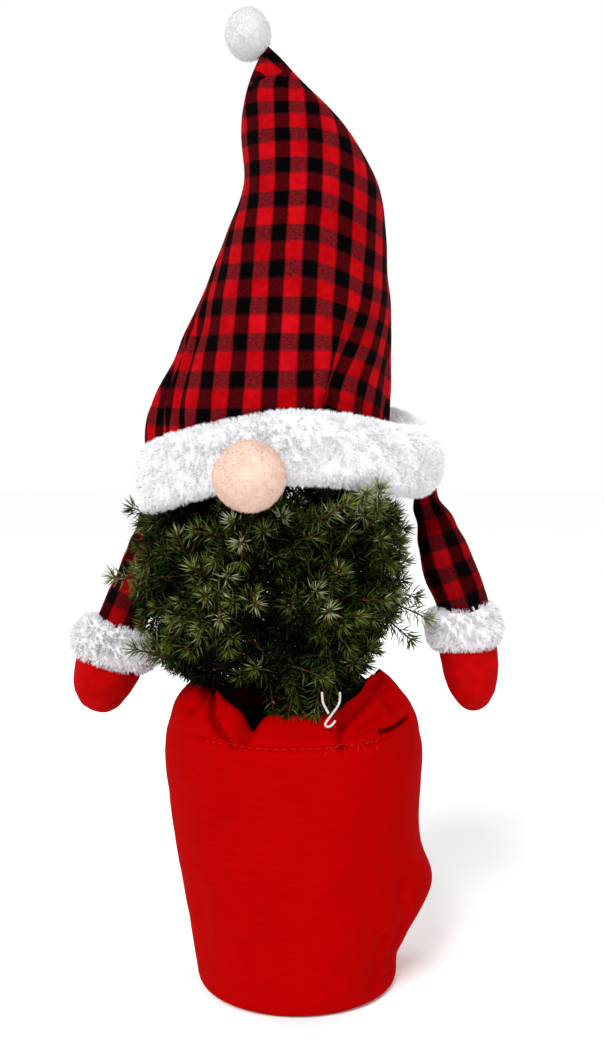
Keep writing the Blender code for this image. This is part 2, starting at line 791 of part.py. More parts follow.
def make_pompom(collection, material):
    """A ball on the end of the hat's tip, in line with the way that the tip points."""
    left_x, left_z, right_x, right_z = HAT_STATIONS[-1]
    tip = Vector(((left_x + right_x) / 2, 0.0, (left_z + right_z) / 2))
    lean = Vector((left_z - right_z, 0.0, right_x - left_x)).normalized()
    away = POMPOM_RADIUS / math.hypot(lean.x, lean.z / POMPOM_TALL) + GAP
    bm = bmesh.new()
    ball(bm, tip + lean * away, (POMPOM_RADIUS, POMPOM_RADIUS, POMPOM_RADIUS * POMPOM_TALL))
    return add_object("pompom", mesh_from(bm, "pompom"), collection, material)


# Stuffed arms
def make_sleeve(side, arm, brim_tree, collection, material):
    """Its first stretch is upright, so that its flat top meets the underside of the brim."""
    shoulder = arm["shoulder"].copy()
    heights = []
    for i in range(SHOULDER_RINGS):
        for a in bearings(SHOULDER_FEELERS):
            radius = SHOULDER_REACH * SLEEVE_RADII[0][0] * i / (SHOULDER_RINGS - 1)
            below = Vector((shoulder.x + radius * math.cos(a), shoulder.y + radius * math.sin(a), 0.0))
            hit = brim_tree.ray_cast(below, Vector((0.0, 0.0, 1.0)))[0]
            if hit is not None:
                heights.append(hit.z)
    shoulder.z = min(heights) - GAP
    rows = (tuple(shoulder), tuple(arm["elbow"]), tuple(arm["wrist"]))
    shares = [i / (SLEEVE_POINTS - 1) for i in range(SLEEVE_POINTS)]
    points = [Vector(catmull_rom(rows, s)) for s in shares]
    points[1].xy = points[0].xy
    radii = [catmull_rom(SLEEVE_RADII, s)[0] for s in shares]
    return tube(f"sleeve_{side}", points, radii, SLEEVE_RESOLUTION, collection, material)


def limb_piece(name, profile, top, down, collection, material):
    """A turned piece that hangs down from its top along a direction, thinner front to back."""
    piece = turned(name, profile, LIMB_SIDES, collection, material)
    across = down.cross(Vector((0.0, 1.0, 0.0))).normalized()
    front = across.cross(down)
    turn = Matrix((across, front * LIMB_FLATNESS, -down)).transposed().to_4x4()
    piece.data = evaluated_mesh(piece)
    piece.modifiers.clear()
    piece.data.transform(Matrix.Translation(top) @ turn)
    return piece


def make_cuff(side, arm, top, down, collection, material):
    profile = [(0.0, 0.0)]
    for i in range(CUFF_SECTION + 1):
        across, up = superellipse(math.pi / 2 - math.pi * i / CUFF_SECTION, CUFF_SQUARENESS)
        radius = arm["cuff_radius"] - CUFF_HALF_HEIGHT * CUFF_ROUNDING * (1 - across)
        profile.append((radius, (up - 1) * CUFF_HALF_HEIGHT))
    profile.append((0.0, -2 * CUFF_HALF_HEIGHT))
    return limb_piece(f"cuff_{side}", profile, top, down, collection, material)


def make_mitten(side, arm, top, down, collection, material):
    length = (arm["fingers"] - top).length
    profile = [(0.0, 0.0), (arm["mitten_radius"] * MITTEN_WRIST_SHARE, 0.0)]
    for i in range(1, MITTEN_RINGS + 1):
        angle = math.pi / 2 * i / MITTEN_RINGS
        radius = arm["mitten_radius"] * math.cos(angle) ** MITTEN_BLUNTNESS
        profile.append((radius, -length * math.sin(angle)))
    profile[-1] = (0.0, -length)
    return limb_piece(f"mitten_{side}", profile, top, down, collection, material)


def make_arm(side, arm, brim_tree, collection, finishes):
    """Sleeve, cuff and mitten, each hanging just clear of the one above it."""
    sleeve = make_sleeve(side, arm, brim_tree, collection, finishes["check_cloth"])
    down = (arm["fingers"] - arm["wrist"]).normalized()
    cuff_top = arm["wrist"] + down * (CUFF_SINK + GAP)
    mitten_top = cuff_top + down * (2 * CUFF_HALF_HEIGHT + GAP)
    cuff = make_cuff(side, arm, cuff_top, down, collection, finishes["white_fur"])
    mitten = make_mitten(side, arm, mitten_top, down, collection, finishes["red_fleece"])
    return [sleeve, cuff, mitten]


def main():
    clear_scene()
    finishes = make_materials()
    plant = new_collection("potted_spruce_gnome")
    scratch = new_collection("twigs_to_fuse")
    make_pot(plant, finishes["pot_plastic"])
    make_potting_mix(plant, finishes["potting_mix"])
    cover = make_cover(plant, finishes["red_cover"])
    trunk = make_trunk(plant, finishes["bark"])
    brim = make_brim(plant, finishes["white_fur"])
    hat = make_hat(brim, plant, finishes["check_cloth"])
    nose = make_nose(brim, plant, finishes["peach_felt"])
    make_pompom(plant, finishes["white_fur"])
    made_things = [cover, brim, nose]
    brim_tree = tree_of([brim])
    for side, arm in ARMS.items():
        made_things += make_arm(side, arm, brim_tree, plant, finishes)
    make_crown(plant, scratch, trunk, made_things, hat, finishes)


main()
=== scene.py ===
"""Looks of the potted dwarf spruce dressed as a gnome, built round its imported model.

Metres, +Z up, +X to the right as seen from the front, and the front faces -Y.
"""

import math
from collections import namedtuple

import bpy
import numpy as np
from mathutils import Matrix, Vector
from mathutils.bvhtree import BVHTree


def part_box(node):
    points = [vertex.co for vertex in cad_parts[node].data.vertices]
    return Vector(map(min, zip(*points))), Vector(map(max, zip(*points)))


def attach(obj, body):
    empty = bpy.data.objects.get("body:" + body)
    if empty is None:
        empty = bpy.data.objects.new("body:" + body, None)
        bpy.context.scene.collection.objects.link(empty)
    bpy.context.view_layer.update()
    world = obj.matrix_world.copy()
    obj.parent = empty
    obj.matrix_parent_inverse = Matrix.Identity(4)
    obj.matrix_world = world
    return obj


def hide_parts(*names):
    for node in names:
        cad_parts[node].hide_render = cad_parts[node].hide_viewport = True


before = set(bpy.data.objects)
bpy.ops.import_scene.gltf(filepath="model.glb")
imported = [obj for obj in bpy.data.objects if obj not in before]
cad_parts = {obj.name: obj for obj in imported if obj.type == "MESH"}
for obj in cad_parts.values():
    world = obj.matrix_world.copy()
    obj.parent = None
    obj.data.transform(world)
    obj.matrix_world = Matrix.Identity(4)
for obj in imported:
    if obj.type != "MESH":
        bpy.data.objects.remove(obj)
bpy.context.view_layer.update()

SEED = 11
WELD_GAP = 0.00002
CHECK_SQUARE = 0.0113

# Camera: where it stands, how far it looks down, and its lens
CAMERA_PLACE = Vector((0.0049, -0.900, 0.400))
CAMERA_PITCH = math.radians(4.5)
CAMERA_LENS = 44.52

# Studio: the key light, then the name, place, size and power of the soft lights
SKY_STRENGTH = 0.42
KEY_PLACE = (-0.75, -1.5, 1.40)
KEY_ANGLE = math.radians(28)
KEY_STRENGTH = 3.05
SOFT_LIGHTS = (
    ("fill", (1.3, -1.1, 0.9), 0.8, 10.0),
    ("back_left", (-1.4, 0.9, 1.1), 0.9, 12.0),
    ("back_right", (1.2, 1.3, 1.2), 0.9, 12.0),
)
LIT_MIDDLE = (0.0, 0.0, 0.35)
FLOOR_HALF = 6.0

# Trunk: foot on the potting mix, tip inside the hat
TRUNK_FOOT = np.array((0.003, 0.000, 0.1613))
TRUNK_TIP = np.array((-0.010, 0.000, 0.452))
TRUNK_SWAY_LEFT = 0.0080
TRUNK_SWAY_BACK = 0.0024
TRUNK_FOOT_RADIUS = 0.0068
TRUNK_TIP_RADIUS = 0.0024
ROOT_FLARE = 0.0042
ROOT_FLARE_HEIGHT = 0.0064

# Crown: height, left edge and right edge as seen from the front, under the brim and in the hat
CROWN_OUTLINE = np.array((
    (0.192, -0.030, 0.034),
    (0.206, -0.052, 0.046),
    (0.218, -0.072, 0.056),
    (0.228, -0.097, 0.062),
    (0.245, -0.113, 0.068),
    (0.272, -0.119, 0.082),
    (0.300, -0.119, 0.086),
    (0.328, -0.115, 0.086),
    (0.340, -0.106, 0.076),
    (0.344, -0.091, 0.058),
    (0.400, -0.088, 0.056),
    (0.470, -0.064, 0.050),
    (0.530, -0.036, 0.044),
    (0.566, -0.015, 0.025),
))
# Tiers of masses: name, count, height, distance from the middle, bearing of the first in
# degrees, and whether a bough carries each mass
TIERS = (
    ("lower", 5, 0.2340, 0.0480, -90.0, True),
    ("middle", 6, 0.2810, 0.0610, -62.0, True),
    ("upper", 5, 0.3240, 0.0590, -96.0, False),
    ("hat", 3, 0.3930, 0.0330, -60.0, False),
)
TOP_MIDDLE = np.array((0.004, 0.0, 0.5050))
LIMB_RISE = math.radians(24)
BOUGH_ROOT_RADIUS = 0.0026
BOUGH_TIP_RADIUS = 0.0015
# Relief of the bark: how high its plates and its roughness are, and how deep its cracks
BARK_PLATES = 0.0007
BARK_ROUGHNESS = 0.0003
BARK_CRACKS = 0.0005
BARK_PLATE_SIZE = 0.0035
BARK_ROUGHNESS_SIZE = 0.0016

# Finer growth in each mass
GOLDEN_ANGLE = math.pi * (3 - math.sqrt(5))
TWIGS_IN_MASS = 32
TWIGS_IN_HIDDEN_MASS = 16
MOST_INWARD = -0.85
TWIG_RADIUS = 0.0011
SIDE_TWIG_RADIUS = 0.00065
SIDE_TWIG_SPACING = 0.0095
SIDE_TWIG_ANGLE = math.radians(46)
SIDE_TWIG_LENGTH = (0.011, 0.020)
LEAST_TWIG = 0.004
# Where the crown's noise is below this, shoots stop short by this depth and leave a dark hollow,
# about as wide as this size
OPEN_BELOW = -0.30
OPEN_DEPTH = 0.018
OPEN_SIZE = 0.024
TIP_MARGIN = 0.0085
SIDE_TIP_MARGIN = 0.0135
CELL_OVERLAP = -0.0010
CLEARANCE = 0.0012
SEARCH_STEP = 0.0010
NEEDLE_LENGTH = 0.0134
NEEDLE_WIDTH = 0.00104
NEEDLES_PER_METRE = 1350
TIP_NEEDLES = 16
BUD_LENGTH = 0.0030
BUD_RADIUS = 0.0010
MOST_NEEDLES_IN_PIECE = 32000
# Longest twig of a mass, and where its needles and those of its side twigs begin
MOST_TWIG = 0.075
NEEDLES_FROM = 0.30
SIDE_NEEDLES_FROM = 0.15
# Side twigs grow from this share of a twig's length and over this much of it
SIDE_TWIGS_FROM = 0.20
SIDE_TWIGS_OVER = 0.62
# Degrees that needles stand off their twig, on most of it and at its tip
NEEDLE_LEAN = 68
NEEDLE_LEAN_AT_TIP = 52
TIP_TUFT_LEAN = (20, 62)
TIP_TUFT_AT = 0.985

# From dark to light: the darkest are painted shade for needles deep inside the crown, the
# lighter ones fresh green at the tips, and the palest partly a painted highlight
NEEDLE_GREENS = (
    (0.0010, 0.0024, 0.0003),
    (0.0040, 0.0092, 0.0008),
    (0.0115, 0.0220, 0.0016),
    (0.0250, 0.0410, 0.0030),
    (0.0480, 0.0690, 0.0070),
    (0.0850, 0.1080, 0.0180),
    (0.1600, 0.1820, 0.0600),
    (0.2900, 0.3050, 0.1800),
)
# Shade of a shoot, in steps of these greens: what its place near the outline, its patch of the
# crown and the crown's foot add, and how much shoots and their needles differ. Lighter near the
# outline, also for fresh growth, and darker at the foot is painted light and shade
SHADE_BY_EXPOSURE = 6.3
EXPOSED_FROM = 0.66
SHADE_BY_PATCH = 1.5
PATCH_SIZE = 0.050
SHADE_AT_FOOT = -2.5
FOOT_HEIGHTS = (0.212, 0.262)
SHOOTS_DIFFER = 0.9
NEEDLES_DIFFER = 0.6
# Needles further in along their twig are darker by this, as painted shade
SHADE_ALONG = 3.2
# Painted light and shade across the crown, lighter in its middle and darker towards its sides:
# in its middle, for each metre to the right, and for that distance squared
SHADE_ACROSS = (0.05, 2.0, -45)
# Share of paler needles, and how much paler they are: their pale lines, and partly a painted
# highlight of their gloss
PALE_SHARE = 0.10
PALER_BY = 2.0

# Tips of longer shoots that stand out of the crown
STRAY_TIPS = (
    (-0.1240, -0.0250, 0.2920),
    (-0.1060, -0.0520, 0.2470),
    (0.0900, -0.0260, 0.2640),
    (0.0800, -0.0200, 0.2480),
    (0.0840, -0.0100, 0.2760),
    (-0.1110, -0.0200, 0.3390),
    (0.0330, -0.0960, 0.3470),
    (0.0450, -0.0970, 0.3530),
    (0.0540, -0.0920, 0.3560),
    (0.0190, -0.0790, 0.2330),
    (-0.0140, -0.0640, 0.2080),
    (-0.0040, -0.0700, 0.2060),
    (0.0050, -0.0660, 0.2070),
    (0.0130, -0.0710, 0.2080),
    (0.0220, -0.0660, 0.2110),
)
# Those with tips lower than this hang over the hem, and turn down this far from their tips
HANGING_BELOW = 0.215
HANG = np.array((0.0, 0.010, 0.036))
HANG_DIFFERS = 0.006
# Nodes that the growth keeps clear of
KEPT_CLEAR = ("pot_cover", "hat_brim", "nose", "pompom", "sleeve", "cuff", "mitten")

# Cloth hat: left and right edge of each ring as seen from the front, as X and Z
HAT_STATIONS = np.array((
    (-0.0998, 0.384, 0.0668, 0.395),
    (-0.0960, 0.409, 0.0672, 0.414),
    (-0.0778, 0.449, 0.0672, 0.450),
    (-0.0600, 0.490, 0.0665, 0.489),
    (-0.0466, 0.529, 0.0632, 0.527),
    (-0.0356, 0.562, 0.0558, 0.564),
    (-0.0364, 0.597, 0.0314, 0.602),
    (-0.0338, 0.618, 0.0048, 0.628),
    (-0.0272, 0.638, -0.0116, 0.6465),
    (-0.0222, 0.6495, -0.0182, 0.6535),
))
HAT_TIP_DEPTH_SHARE = 0.78
HAT_WALL = 0.0016
# The gap between its edge and the brim, and the height over which that seat fades out
HAT_GAP = 0.0006
HAT_SEAT_FADE = 0.070
# The hat's fold: from the brim up to where it fades, as X and Z on the front
FOLD_FOOT = np.array((0.0194, 0.4101))
FOLD_HEAD = np.array((0.0424, 0.5011))
FOLD_TURN = math.radians(15)
# How high its edge stands, and how deep the cloth lies beside it and beyond it
FOLD_RIDGE = 0.0040
FOLD_HOLLOW = 0.0055
BEYOND_FOLD = 0.0020
# The hat's bands: how wide their rows are to their columns, how far the first row is moved, how
# much closer the rows lie near the tip, and how much wider the columns get up to there
HAT_ROW_SHARE = 0.94
HAT_ROW_SHIFT = -0.0010
HAT_ROWS_CLOSER = 0.36
HAT_COLUMNS_WIDER = 0.12
# and the bands slope down on the right by this much
HAT_ROW_DROP = 0.0165
# The side seams lie this far behind the hat's left and right edges
HAT_SEAM_BACK = math.radians(9)
HAT_SEAM_DEPTH = 0.0011
# Small gathers at the hat's foot and at its neck: their count and their depth, and the heights
# between which the neck's begin
GATHERS_AT_FOOT = 23
FOOT_GATHER_DEPTH = 0.0012
GATHERS_AT_NECK = 9
NECK_GATHER_DEPTH = 0.0011
HAT_NECK = (0.600, 0.640)
# Degrees from the hat's left edge to each pleat, at the brim
HAT_PLEATS = (-12.0, 2.0, 14.0, 27.0, 40.0)
# Height of the pleats' foot, and how far up they go
PLEATS_FOOT = 0.385
PLEATS_RISE = 0.110
# Pleats: height and width of each ridge, and depth and width of the groove beside it
PLEAT_RIDGE = (0.0026, 3.2)
PLEAT_GROOVE = (0.0020, 2.6)
PLEAT_GROOVE_AWAY = 6.0
# A small turned edge at the foot of the fold, as X and Z on the front
HAT_TUCK = ((0.0135, 0.4200), (0.0240, 0.4125), (0.0350, 0.4110))
HAT_TUCK_WIDTH = 0.0020
HAT_TUCK_HEIGHT = 0.0018
# The upright line that the front's columns start from: X at its foot, lean, and the foot's height
PLUMB_X = -0.0092
PLUMB_LEAN = 0.037
PLUMB_FOOT = 0.42

# Fur brim
BRIM_INNER_X = -0.0165
BRIM_INNER_RADIUS = 0.0780
BRIM_OUTER_X = -0.0050
BRIM_OUTER_RADIUS = 0.1075
BRIM_OUTER_DEPTH = 0.1040
BRIM_HALF_HEIGHT = 0.0225
BRIM_MIDDLE = 0.3759
BRIM_TILT = 0.0058
BRIM_BACK_RISE = 0.0060
BRIM_SADDLE = 0.0111
BRIM_SQUARENESS = 2.6
# Its right end curls up a little, behind the hat's edge
BRIM_CURL = 0.0065
BRIM_CURL_BEARING = math.radians(24)
PILE_LENGTH = 0.0038

# Kinds of pile: length of its strands, how far a tuft spreads, strands in a tuft, how much they
# droop, their width, and tufts on a square metre
Pile = namedtuple("Pile", "length spread per_tuft droop width density")
BRIM_PILE = Pile(PILE_LENGTH, 0.0020, 8, 0.20, 0.00030, 330000)
CUFF_PILE = Pile(PILE_LENGTH, 0.0016, 8, 0.15, 0.00030, 360000)
POMPOM_PILE = Pile(0.0012, 0.0006, 2, 0.0, 0.00014, 800000)
NOSE_NAP = Pile(0.0011, 0.0006, 2, 0.0, 0.00016, 900000)
# How much the pile's lie wanders, and the width of its clouds
PILE_LEAN = 0.12
PILE_CLOUD = 0.010
# Shares of a strand's length: how deep its root is, how far it bulges, and how its tip strays
STRAND_ROOT = 0.20
STRAND_BULGE = 0.20
STRAND_STRAY = 0.08
# Shares of a tuft's spread in the middle of its strands and at their tips
TUFT_MIDDLE = 0.5
TUFT_TIP = 0.65
# Share of the pile on the inner sides, and the radius up to which the brim is bare under the hat
BRIM_INNER_PILE = 0.35
CUFF_INNER_PILE = 0.15
BARE_UNDER_HAT = 0.0835

# Lumps under the surfaces: in each layer their height, their width and its seed
BRIM_LUMPS = ((0.0024, 0.045, 3), (0.0006, 0.014, 4))
NOSE_LUMPS = ((0.0011, 0.014, 2), (0.0005, 0.005, 3), (0.00018, 0.0012, 4))
POMPOM_LUMPS = ((0.0008, 0.010, 6),)
CUFF_LUMPS = ((0.0014, 0.012, 41),)
MITTEN_LUMPS = ((0.0011, 0.018, 51), (0.0004, 0.006, 52))
HAT_LUMPS = ((0.0024, 0.050, 21), (0.0009, 0.020, 22))

# Pompom and nose
POMPOM_RADIUS = 0.0168
POMPOM_CORE_SHARE = 0.955
POMPOM_STRETCH = (0.93, 0.97, 1.10)
NOSE_CENTRE = np.array((-0.0272, -0.1190, 0.3648))
NOSE_RADII = np.array((0.0217, 0.0205, 0.0214))
# Its flat back starts this far in front of the brim's solid, and sinks this far into the fur
NOSE_GAP = 0.0003
NOSE_IN_FUR = 0.004

# Arms: the route of each, the sizes of its cuff and mitten, and how pointed the mitten is
SLEEVE_RADII = (0.0074, 0.0138, 0.0178, 0.0178, 0.0172)
SLEEVE_IN_CUFF = 0.0075
CUFF_HALF_HEIGHT = 0.0160
CUFF_SINK = 0.0022
CUFF_THICKNESS = 0.0150
CUFF_SQUARENESS = 2.4
# Drawn folds round the sleeve's upper end: their height, and how close they follow each other
SLEEVE_FOLD_HEIGHT = 0.0012
SLEEVE_FOLDS = 26
SLEEVE_LUMPS = ((0.0011, 0.016, 32),)
SLEEVE_SEAM_DEPTH = 0.0010
MITTEN_SEAM_DEPTH = 0.0008
# The mitten's end inside the cuff: share of its radius, and place along the arm
MITTEN_LEAD = ((0.80, -0.008), (0.92, -0.003))
LIMB_FLATNESS = 0.82
ARMS = {
    "right": {
        "sleeve": ((0.0895, -0.0010, 0.3520), (0.0980, -0.0025, 0.3257), (0.1065, -0.0040, 0.3000),
                   (0.1168, -0.0050, 0.2725)),
        "fingers": (0.1270, -0.0070, 0.1955),
        "cuff_radius": 0.0288,
        "mitten_radius": 0.0205,
        "mitten_point": 0.92,
    },
    "left": {
        "sleeve": ((-0.0985, 0.0200, 0.3460), (-0.1025, 0.0280, 0.3180), (-0.1110, 0.0300, 0.2880),
                   (-0.1252, 0.0260, 0.2545)),
        "fingers": (-0.1470, 0.0215, 0.1885),
        "cuff_radius": 0.0340,
        "mitten_radius": 0.0238,
        "mitten_point": 0.85,
    },
}

# Cloth pot cover: radius and height from its floor's edge up to the pot's rim
COVER_LOWER = (
    (0.0640, 0.0008),
    (0.0690, 0.0020),
    (0.0712, 0.0060),
    (0.0728, 0.0160),
    (0.0766, 0.0420),
    (0.0812, 0.0720),
    (0.0866, 0.1080),
    (0.0900, 0.1400),
    (0.0912, 0.1600),
)
# and on to its hem, which stands up on the left and the right
COVER_FRONT = (
    (0.0914, 0.1730), (0.0900, 0.1860), (0.0850, 0.1950),
    (0.0770, 0.2015), (0.0690, 0.2045), (0.0645, 0.2030),
)
COVER_LEFT = (
    (0.0898, 0.1740), (0.0866, 0.1900), (0.0822, 0.2040),
    (0.0745, 0.2140), (0.0660, 0.2195), (0.0590, 0.2225),
)
COVER_RIGHT = (
    (0.0900, 0.1740), (0.0872, 0.1870), (0.0820, 0.1985),
    (0.0750, 0.2085), (0.0680, 0.2175), (0.0600, 0.2250),
)
COVER_BACK = (
    (0.0912, 0.1740), (0.0900, 0.1860), (0.0850, 0.1970),
    (0.0770, 0.2035), (0.0700, 0.2060), (0.0640, 0.2040),
)
COVER_TOP = 0.2065
# Lowest height of its cloth, height of its floor, and the radius that its weave is true to
COVER_LOWEST = 0.0006
COVER_FLOOR_HEIGHT = 0.0007
COVER_CLOTH_RADIUS = 0.085
# Height of the seam under the hem, how deep it is, and how high the roll above it stands
HEM_SEAM = 0.1885
HEM_GROOVE = 0.0019
HEM_ROLL = 0.0009
# Stitches: degrees to each side of the front, steps from one to the next, and radius of the thread
STITCH_SPAN = 42.0
STITCH_EVERY = 6
STITCH_RADIUS = 0.0004
# Loose ones hang this far down, between these two places in X
LOOSE_STITCHES = (0.018, 0.056)
LOOSE_DROP = 0.0065
# The cover leans: how far its middle lies to the right at its floor and at its top
COVER_SHIFT_AT_FLOOR = 0.0018
COVER_SHIFT_AT_TOP = -0.0014
# Loose cloth low on the right: how far it is pushed out, its height and spread, and its bearing
# and spread in degrees
COVER_BAGS = (
    (0.0150, 0.069, 0.029, 0, 34),
    (0.0015, 0.076, 0.012, 2, 22),
    (-0.0024, 0.020, 0.012, 0, 30),
)
# Gathers round the hem: how deep they are, and the counts of the wide and the narrow ones
HEM_GATHER_DEPTH = 0.0012
HEM_GATHERS = (7, 13)
# The hem's notch in front, left of the middle: how deep it is, its bearing and its spread
HEM_NOTCH = (0.0135, -113, 6)
# and where the hem goes outwards and up beside it: both distances, bearing and spread
HEM_MOVES = (
    (0.0, -0.0040, -126, 12),
    (0.0050, 0.0, -137, 12),
    (-0.0055, 0.0, -52, 12),
)
# Creases of the cover as seen from the front: path in X and Z, width and depth
COVER_CREASES = (
    (((-0.0566, 0.2210), (-0.0560, 0.2030), (-0.0500, 0.1950), (-0.0410, 0.1900)), 0.0026, 0.0085),
    (((-0.0600, 0.2210), (-0.0640, 0.2110), (-0.0715, 0.2035)), 0.0026, 0.0065),
    (((0.0310, 0.2040), (0.0330, 0.1890)), 0.0036, 0.0070),
    (((0.0345, 0.2060), (0.0480, 0.2150), (0.0580, 0.2190)), 0.0046, 0.0080),
    (((0.0390, 0.1960), (0.0520, 0.2000), (0.0600, 0.2010)), 0.0040, 0.0040),
    (((0.0575, 0.1938), (0.0680, 0.1938), (0.0780, 0.1948)), 0.0012, 0.0110),
    (((0.0640, 0.2120), (0.0690, 0.2060)), 0.0040, 0.0085),
    (((0.0740, 0.0850), (0.0765, 0.0600), (0.0740, 0.0450)), 0.0050, 0.0030),
    (((0.0610, 0.0460), (0.0580, 0.0080)), 0.0055, 0.0042),
    (((0.0700, 0.0380), (0.0670, 0.0080)), 0.0036, 0.0034),
    (((0.0500, 0.0560), (0.0530, 0.0200)), 0.0070, 0.0018),
    (((-0.0660, 0.0850), (-0.0630, 0.0350)), 0.0060, 0.0016),
    (((-0.0780, 0.1500), (-0.0760, 0.1100)), 0.0070, 0.0012),
)
# Thickness of the cover's cloth and the sleeves', and of the cover's floor
CLOTH_WALL = 0.0012
COVER_FLOOR_WALL = 0.0010

# Crumbs of the potting mix, and the wire tie's two ends
CRUMBS = 900
CRUMBS_REACH = 0.072
CRUMB_SIZES = (0.0012, 0.0038)
TIE_ROUTES = (
    (
        (0.0179, -0.0750, 0.2229),
        (0.0185, -0.0765, 0.2165),
        (0.0205, -0.0780, 0.2125),
        (0.0222, -0.0790, 0.2095),
    ),
    (
        (0.0296, -0.0740, 0.2226),
        (0.0290, -0.0765, 0.2158),
        (0.0245, -0.0795, 0.2095),
        (0.0200, -0.0815, 0.2035),
        (0.0215, -0.0825, 0.2017),
        (0.0245, -0.0820, 0.2030),
        (0.0265, -0.0815, 0.2056),
    ),
)
TIE_RADIUS = 0.0008


# Numbers

def noise(points, size, seed=0):
    """Smooth noise from -1 to 1 at each point; size is the width of its lumps."""
    cells = np.asarray(points, float) / size
    corner = np.floor(cells).astype(np.int64)
    share = cells - corner
    share = share * share * (3 - 2 * share)
    total = np.zeros(cells.shape[:-1])
    for step in np.ndindex(2, 2, 2):
        place = corner + step
        key = place[..., 0] * 73856093 ^ place[..., 1] * 19349663 ^ place[..., 2] * 83492791
        key = (key ^ (seed * 668265263)) & 0xFFFFFFFF
        key = (key ^ (key >> 15)) * 2246822519 & 0xFFFFFFFF
        key = (key ^ (key >> 13)) * 3266489917 & 0xFFFFFFFF
        value = (key ^ (key >> 16)) / 0x7FFFFFFF - 1
        weight = np.prod(np.where(np.array(step) == 1, share, 1 - share), axis=-1)
        total += weight * value
    return total


def layered_noise(points, size, layers=3, seed=0):
    """Noise with finer and finer lumps, each half as strong as the last."""
    return sum(noise(points, size / 2**i, seed + i) / 2**i for i in range(layers))


def lumps(points, layers):
    """Lumps in layers, each with the lumps' height, their width and a seed of its own."""
    return sum(height * noise(points, size, seed) for height, size, seed in layers)


def pushed(points, out, push):
    """Points moved outwards by a distance each."""
    return points + out * push[..., None]


def smooth_step(x, low, high):
    """0 up to low, 1 from high on, and smooth between them."""
    share = np.clip((x - low) / (high - low), 0, 1)
    return share * share * (3 - 2 * share)


def unit(vectors):
    return vectors / np.maximum(np.linalg.norm(vectors, axis=-1, keepdims=True), 1e-12)


def side_vectors(ways):
    """Two directions square to each way and to each other."""
    helper = np.where(np.abs(ways[..., 2:]) < 0.9, (0.0, 0.0, 1.0), (1.0, 0.0, 0.0))
    first = unit(np.cross(ways, helper))
    return first, np.cross(ways, first)


def catmull_rom(rows, shares):
    """Rows at these shares, 0 to 1, of a smooth curve through the given rows."""
    rows = np.asarray(rows, float)
    place = np.asarray(shares, float) * (len(rows) - 1)
    i = np.clip(place.astype(int), 0, len(rows) - 2)
    t = (place - i)[:, None]
    a, b, c, d = (rows[np.clip(i + k, 0, len(rows) - 1)] for k in (-1, 0, 1, 2))
    return b + 0.5 * t * (c - a + t * (2 * a - 5 * b + 4 * c - d + t * (3 * b - a - 3 * c + d)))


def bell(x, middle, width):
    """1 at its middle, falling to 0 on both sides."""
    return np.exp(-(((x - middle) / width) ** 2))


def around(count):
    return np.arange(count) * 2 * math.pi / count


def bearing_from(bearing, middle):
    """How far a bearing is from another, from -pi to pi."""
    return (bearing - middle + math.pi) % (2 * math.pi) - math.pi


# Meshes

def add_mesh(name, points, faces, materials, dealt=None, uv=None):
    """A smooth-shaded mesh piece. uv has one row for each corner of each face."""
    points = np.asarray(points, np.float32).reshape(-1, 3)
    faces = np.asarray(faces, np.int32)
    mesh = bpy.data.meshes.new(name)
    mesh.vertices.add(len(points))
    mesh.vertices.foreach_set("co", points.ravel())
    mesh.loops.add(faces.size)
    mesh.loops.foreach_set("vertex_index", faces.ravel())
    mesh.polygons.add(len(faces))
    mesh.polygons.foreach_set("loop_start", np.arange(len(faces), dtype=np.int32) * faces.shape[1])
    for material in materials:
        mesh.materials.append(material)
    if dealt is not None:
        mesh.polygons.foreach_set("material_index", np.asarray(dealt, np.int32))
    mesh.update(calc_edges=True)
    mesh.shade_smooth()
    if uv is not None:
        layer = mesh.uv_layers.new(name="cloth")
        layer.data.foreach_set("uv", np.asarray(uv, np.float32).ravel())
    obj = bpy.data.objects.new(name, mesh)
    bpy.context.scene.collection.objects.link(obj)
    return obj


def as_triangles(quads):
    return np.concatenate((quads[:, (0, 1, 2)], quads[:, (0, 2, 3)]))


def grid(rows, columns):
    """Quads of a grid closed across, and each corner's place in a grid one column wider."""
    r, c = np.meshgrid(np.arange(rows - 1), np.arange(columns), indexing="ij")
    corners = ((r, c), (r, c + 1), (r + 1, c + 1), (r + 1, c))
    faces = np.stack([i * columns + j % columns for i, j in corners], -1).reshape(-1, 4)
    wide = np.stack([i * (columns + 1) + j for i, j in corners], -1).reshape(-1, 4)
    return faces, wide


def grid_normals(points):
    """Outward directions of a closed grid of points."""
    along = np.gradient(points, axis=0)
    across = np.roll(points, -1, axis=1) - np.roll(points, 1, axis=1)
    normals = unit(np.cross(across, along))
    outwards = points - points.mean(1, keepdims=True)
    return normals if (normals * outwards).sum() > 0 else -normals


def faces_out(points, faces, *others):
    """The faces, and arrays that go with them corner by corner, turned to face outwards."""
    flat = np.asarray(points, float).reshape(-1, 3)
    a, b, c = (flat[faces[:, k]] for k in range(3))
    volume = (np.cross(b - a, c - a) * (a - flat.mean(0))).sum()
    arrays = (faces, *others)
    if volume < 0:
        arrays = tuple(array[:, ::-1] for array in arrays)
    return arrays if others else arrays[0]


def apply_modifiers(obj):
    """Makes what the modifiers give the piece's own mesh."""
    bpy.context.view_layer.update()
    graph = bpy.context.evaluated_depsgraph_get()
    mesh = bpy.data.meshes.new_from_object(obj.evaluated_get(graph))
    obj.modifiers.clear()
    old = obj.data
    obj.data = mesh
    bpy.data.meshes.remove(old)
    mesh.name = obj.name


def thicken(obj, thickness):
    """Gives an open sheet its thickness, inwards."""
    shell = obj.modifiers.new("wall", "SOLIDIFY")
    shell.thickness = thickness
    shell.offset = -1.0
    apply_modifiers(obj)


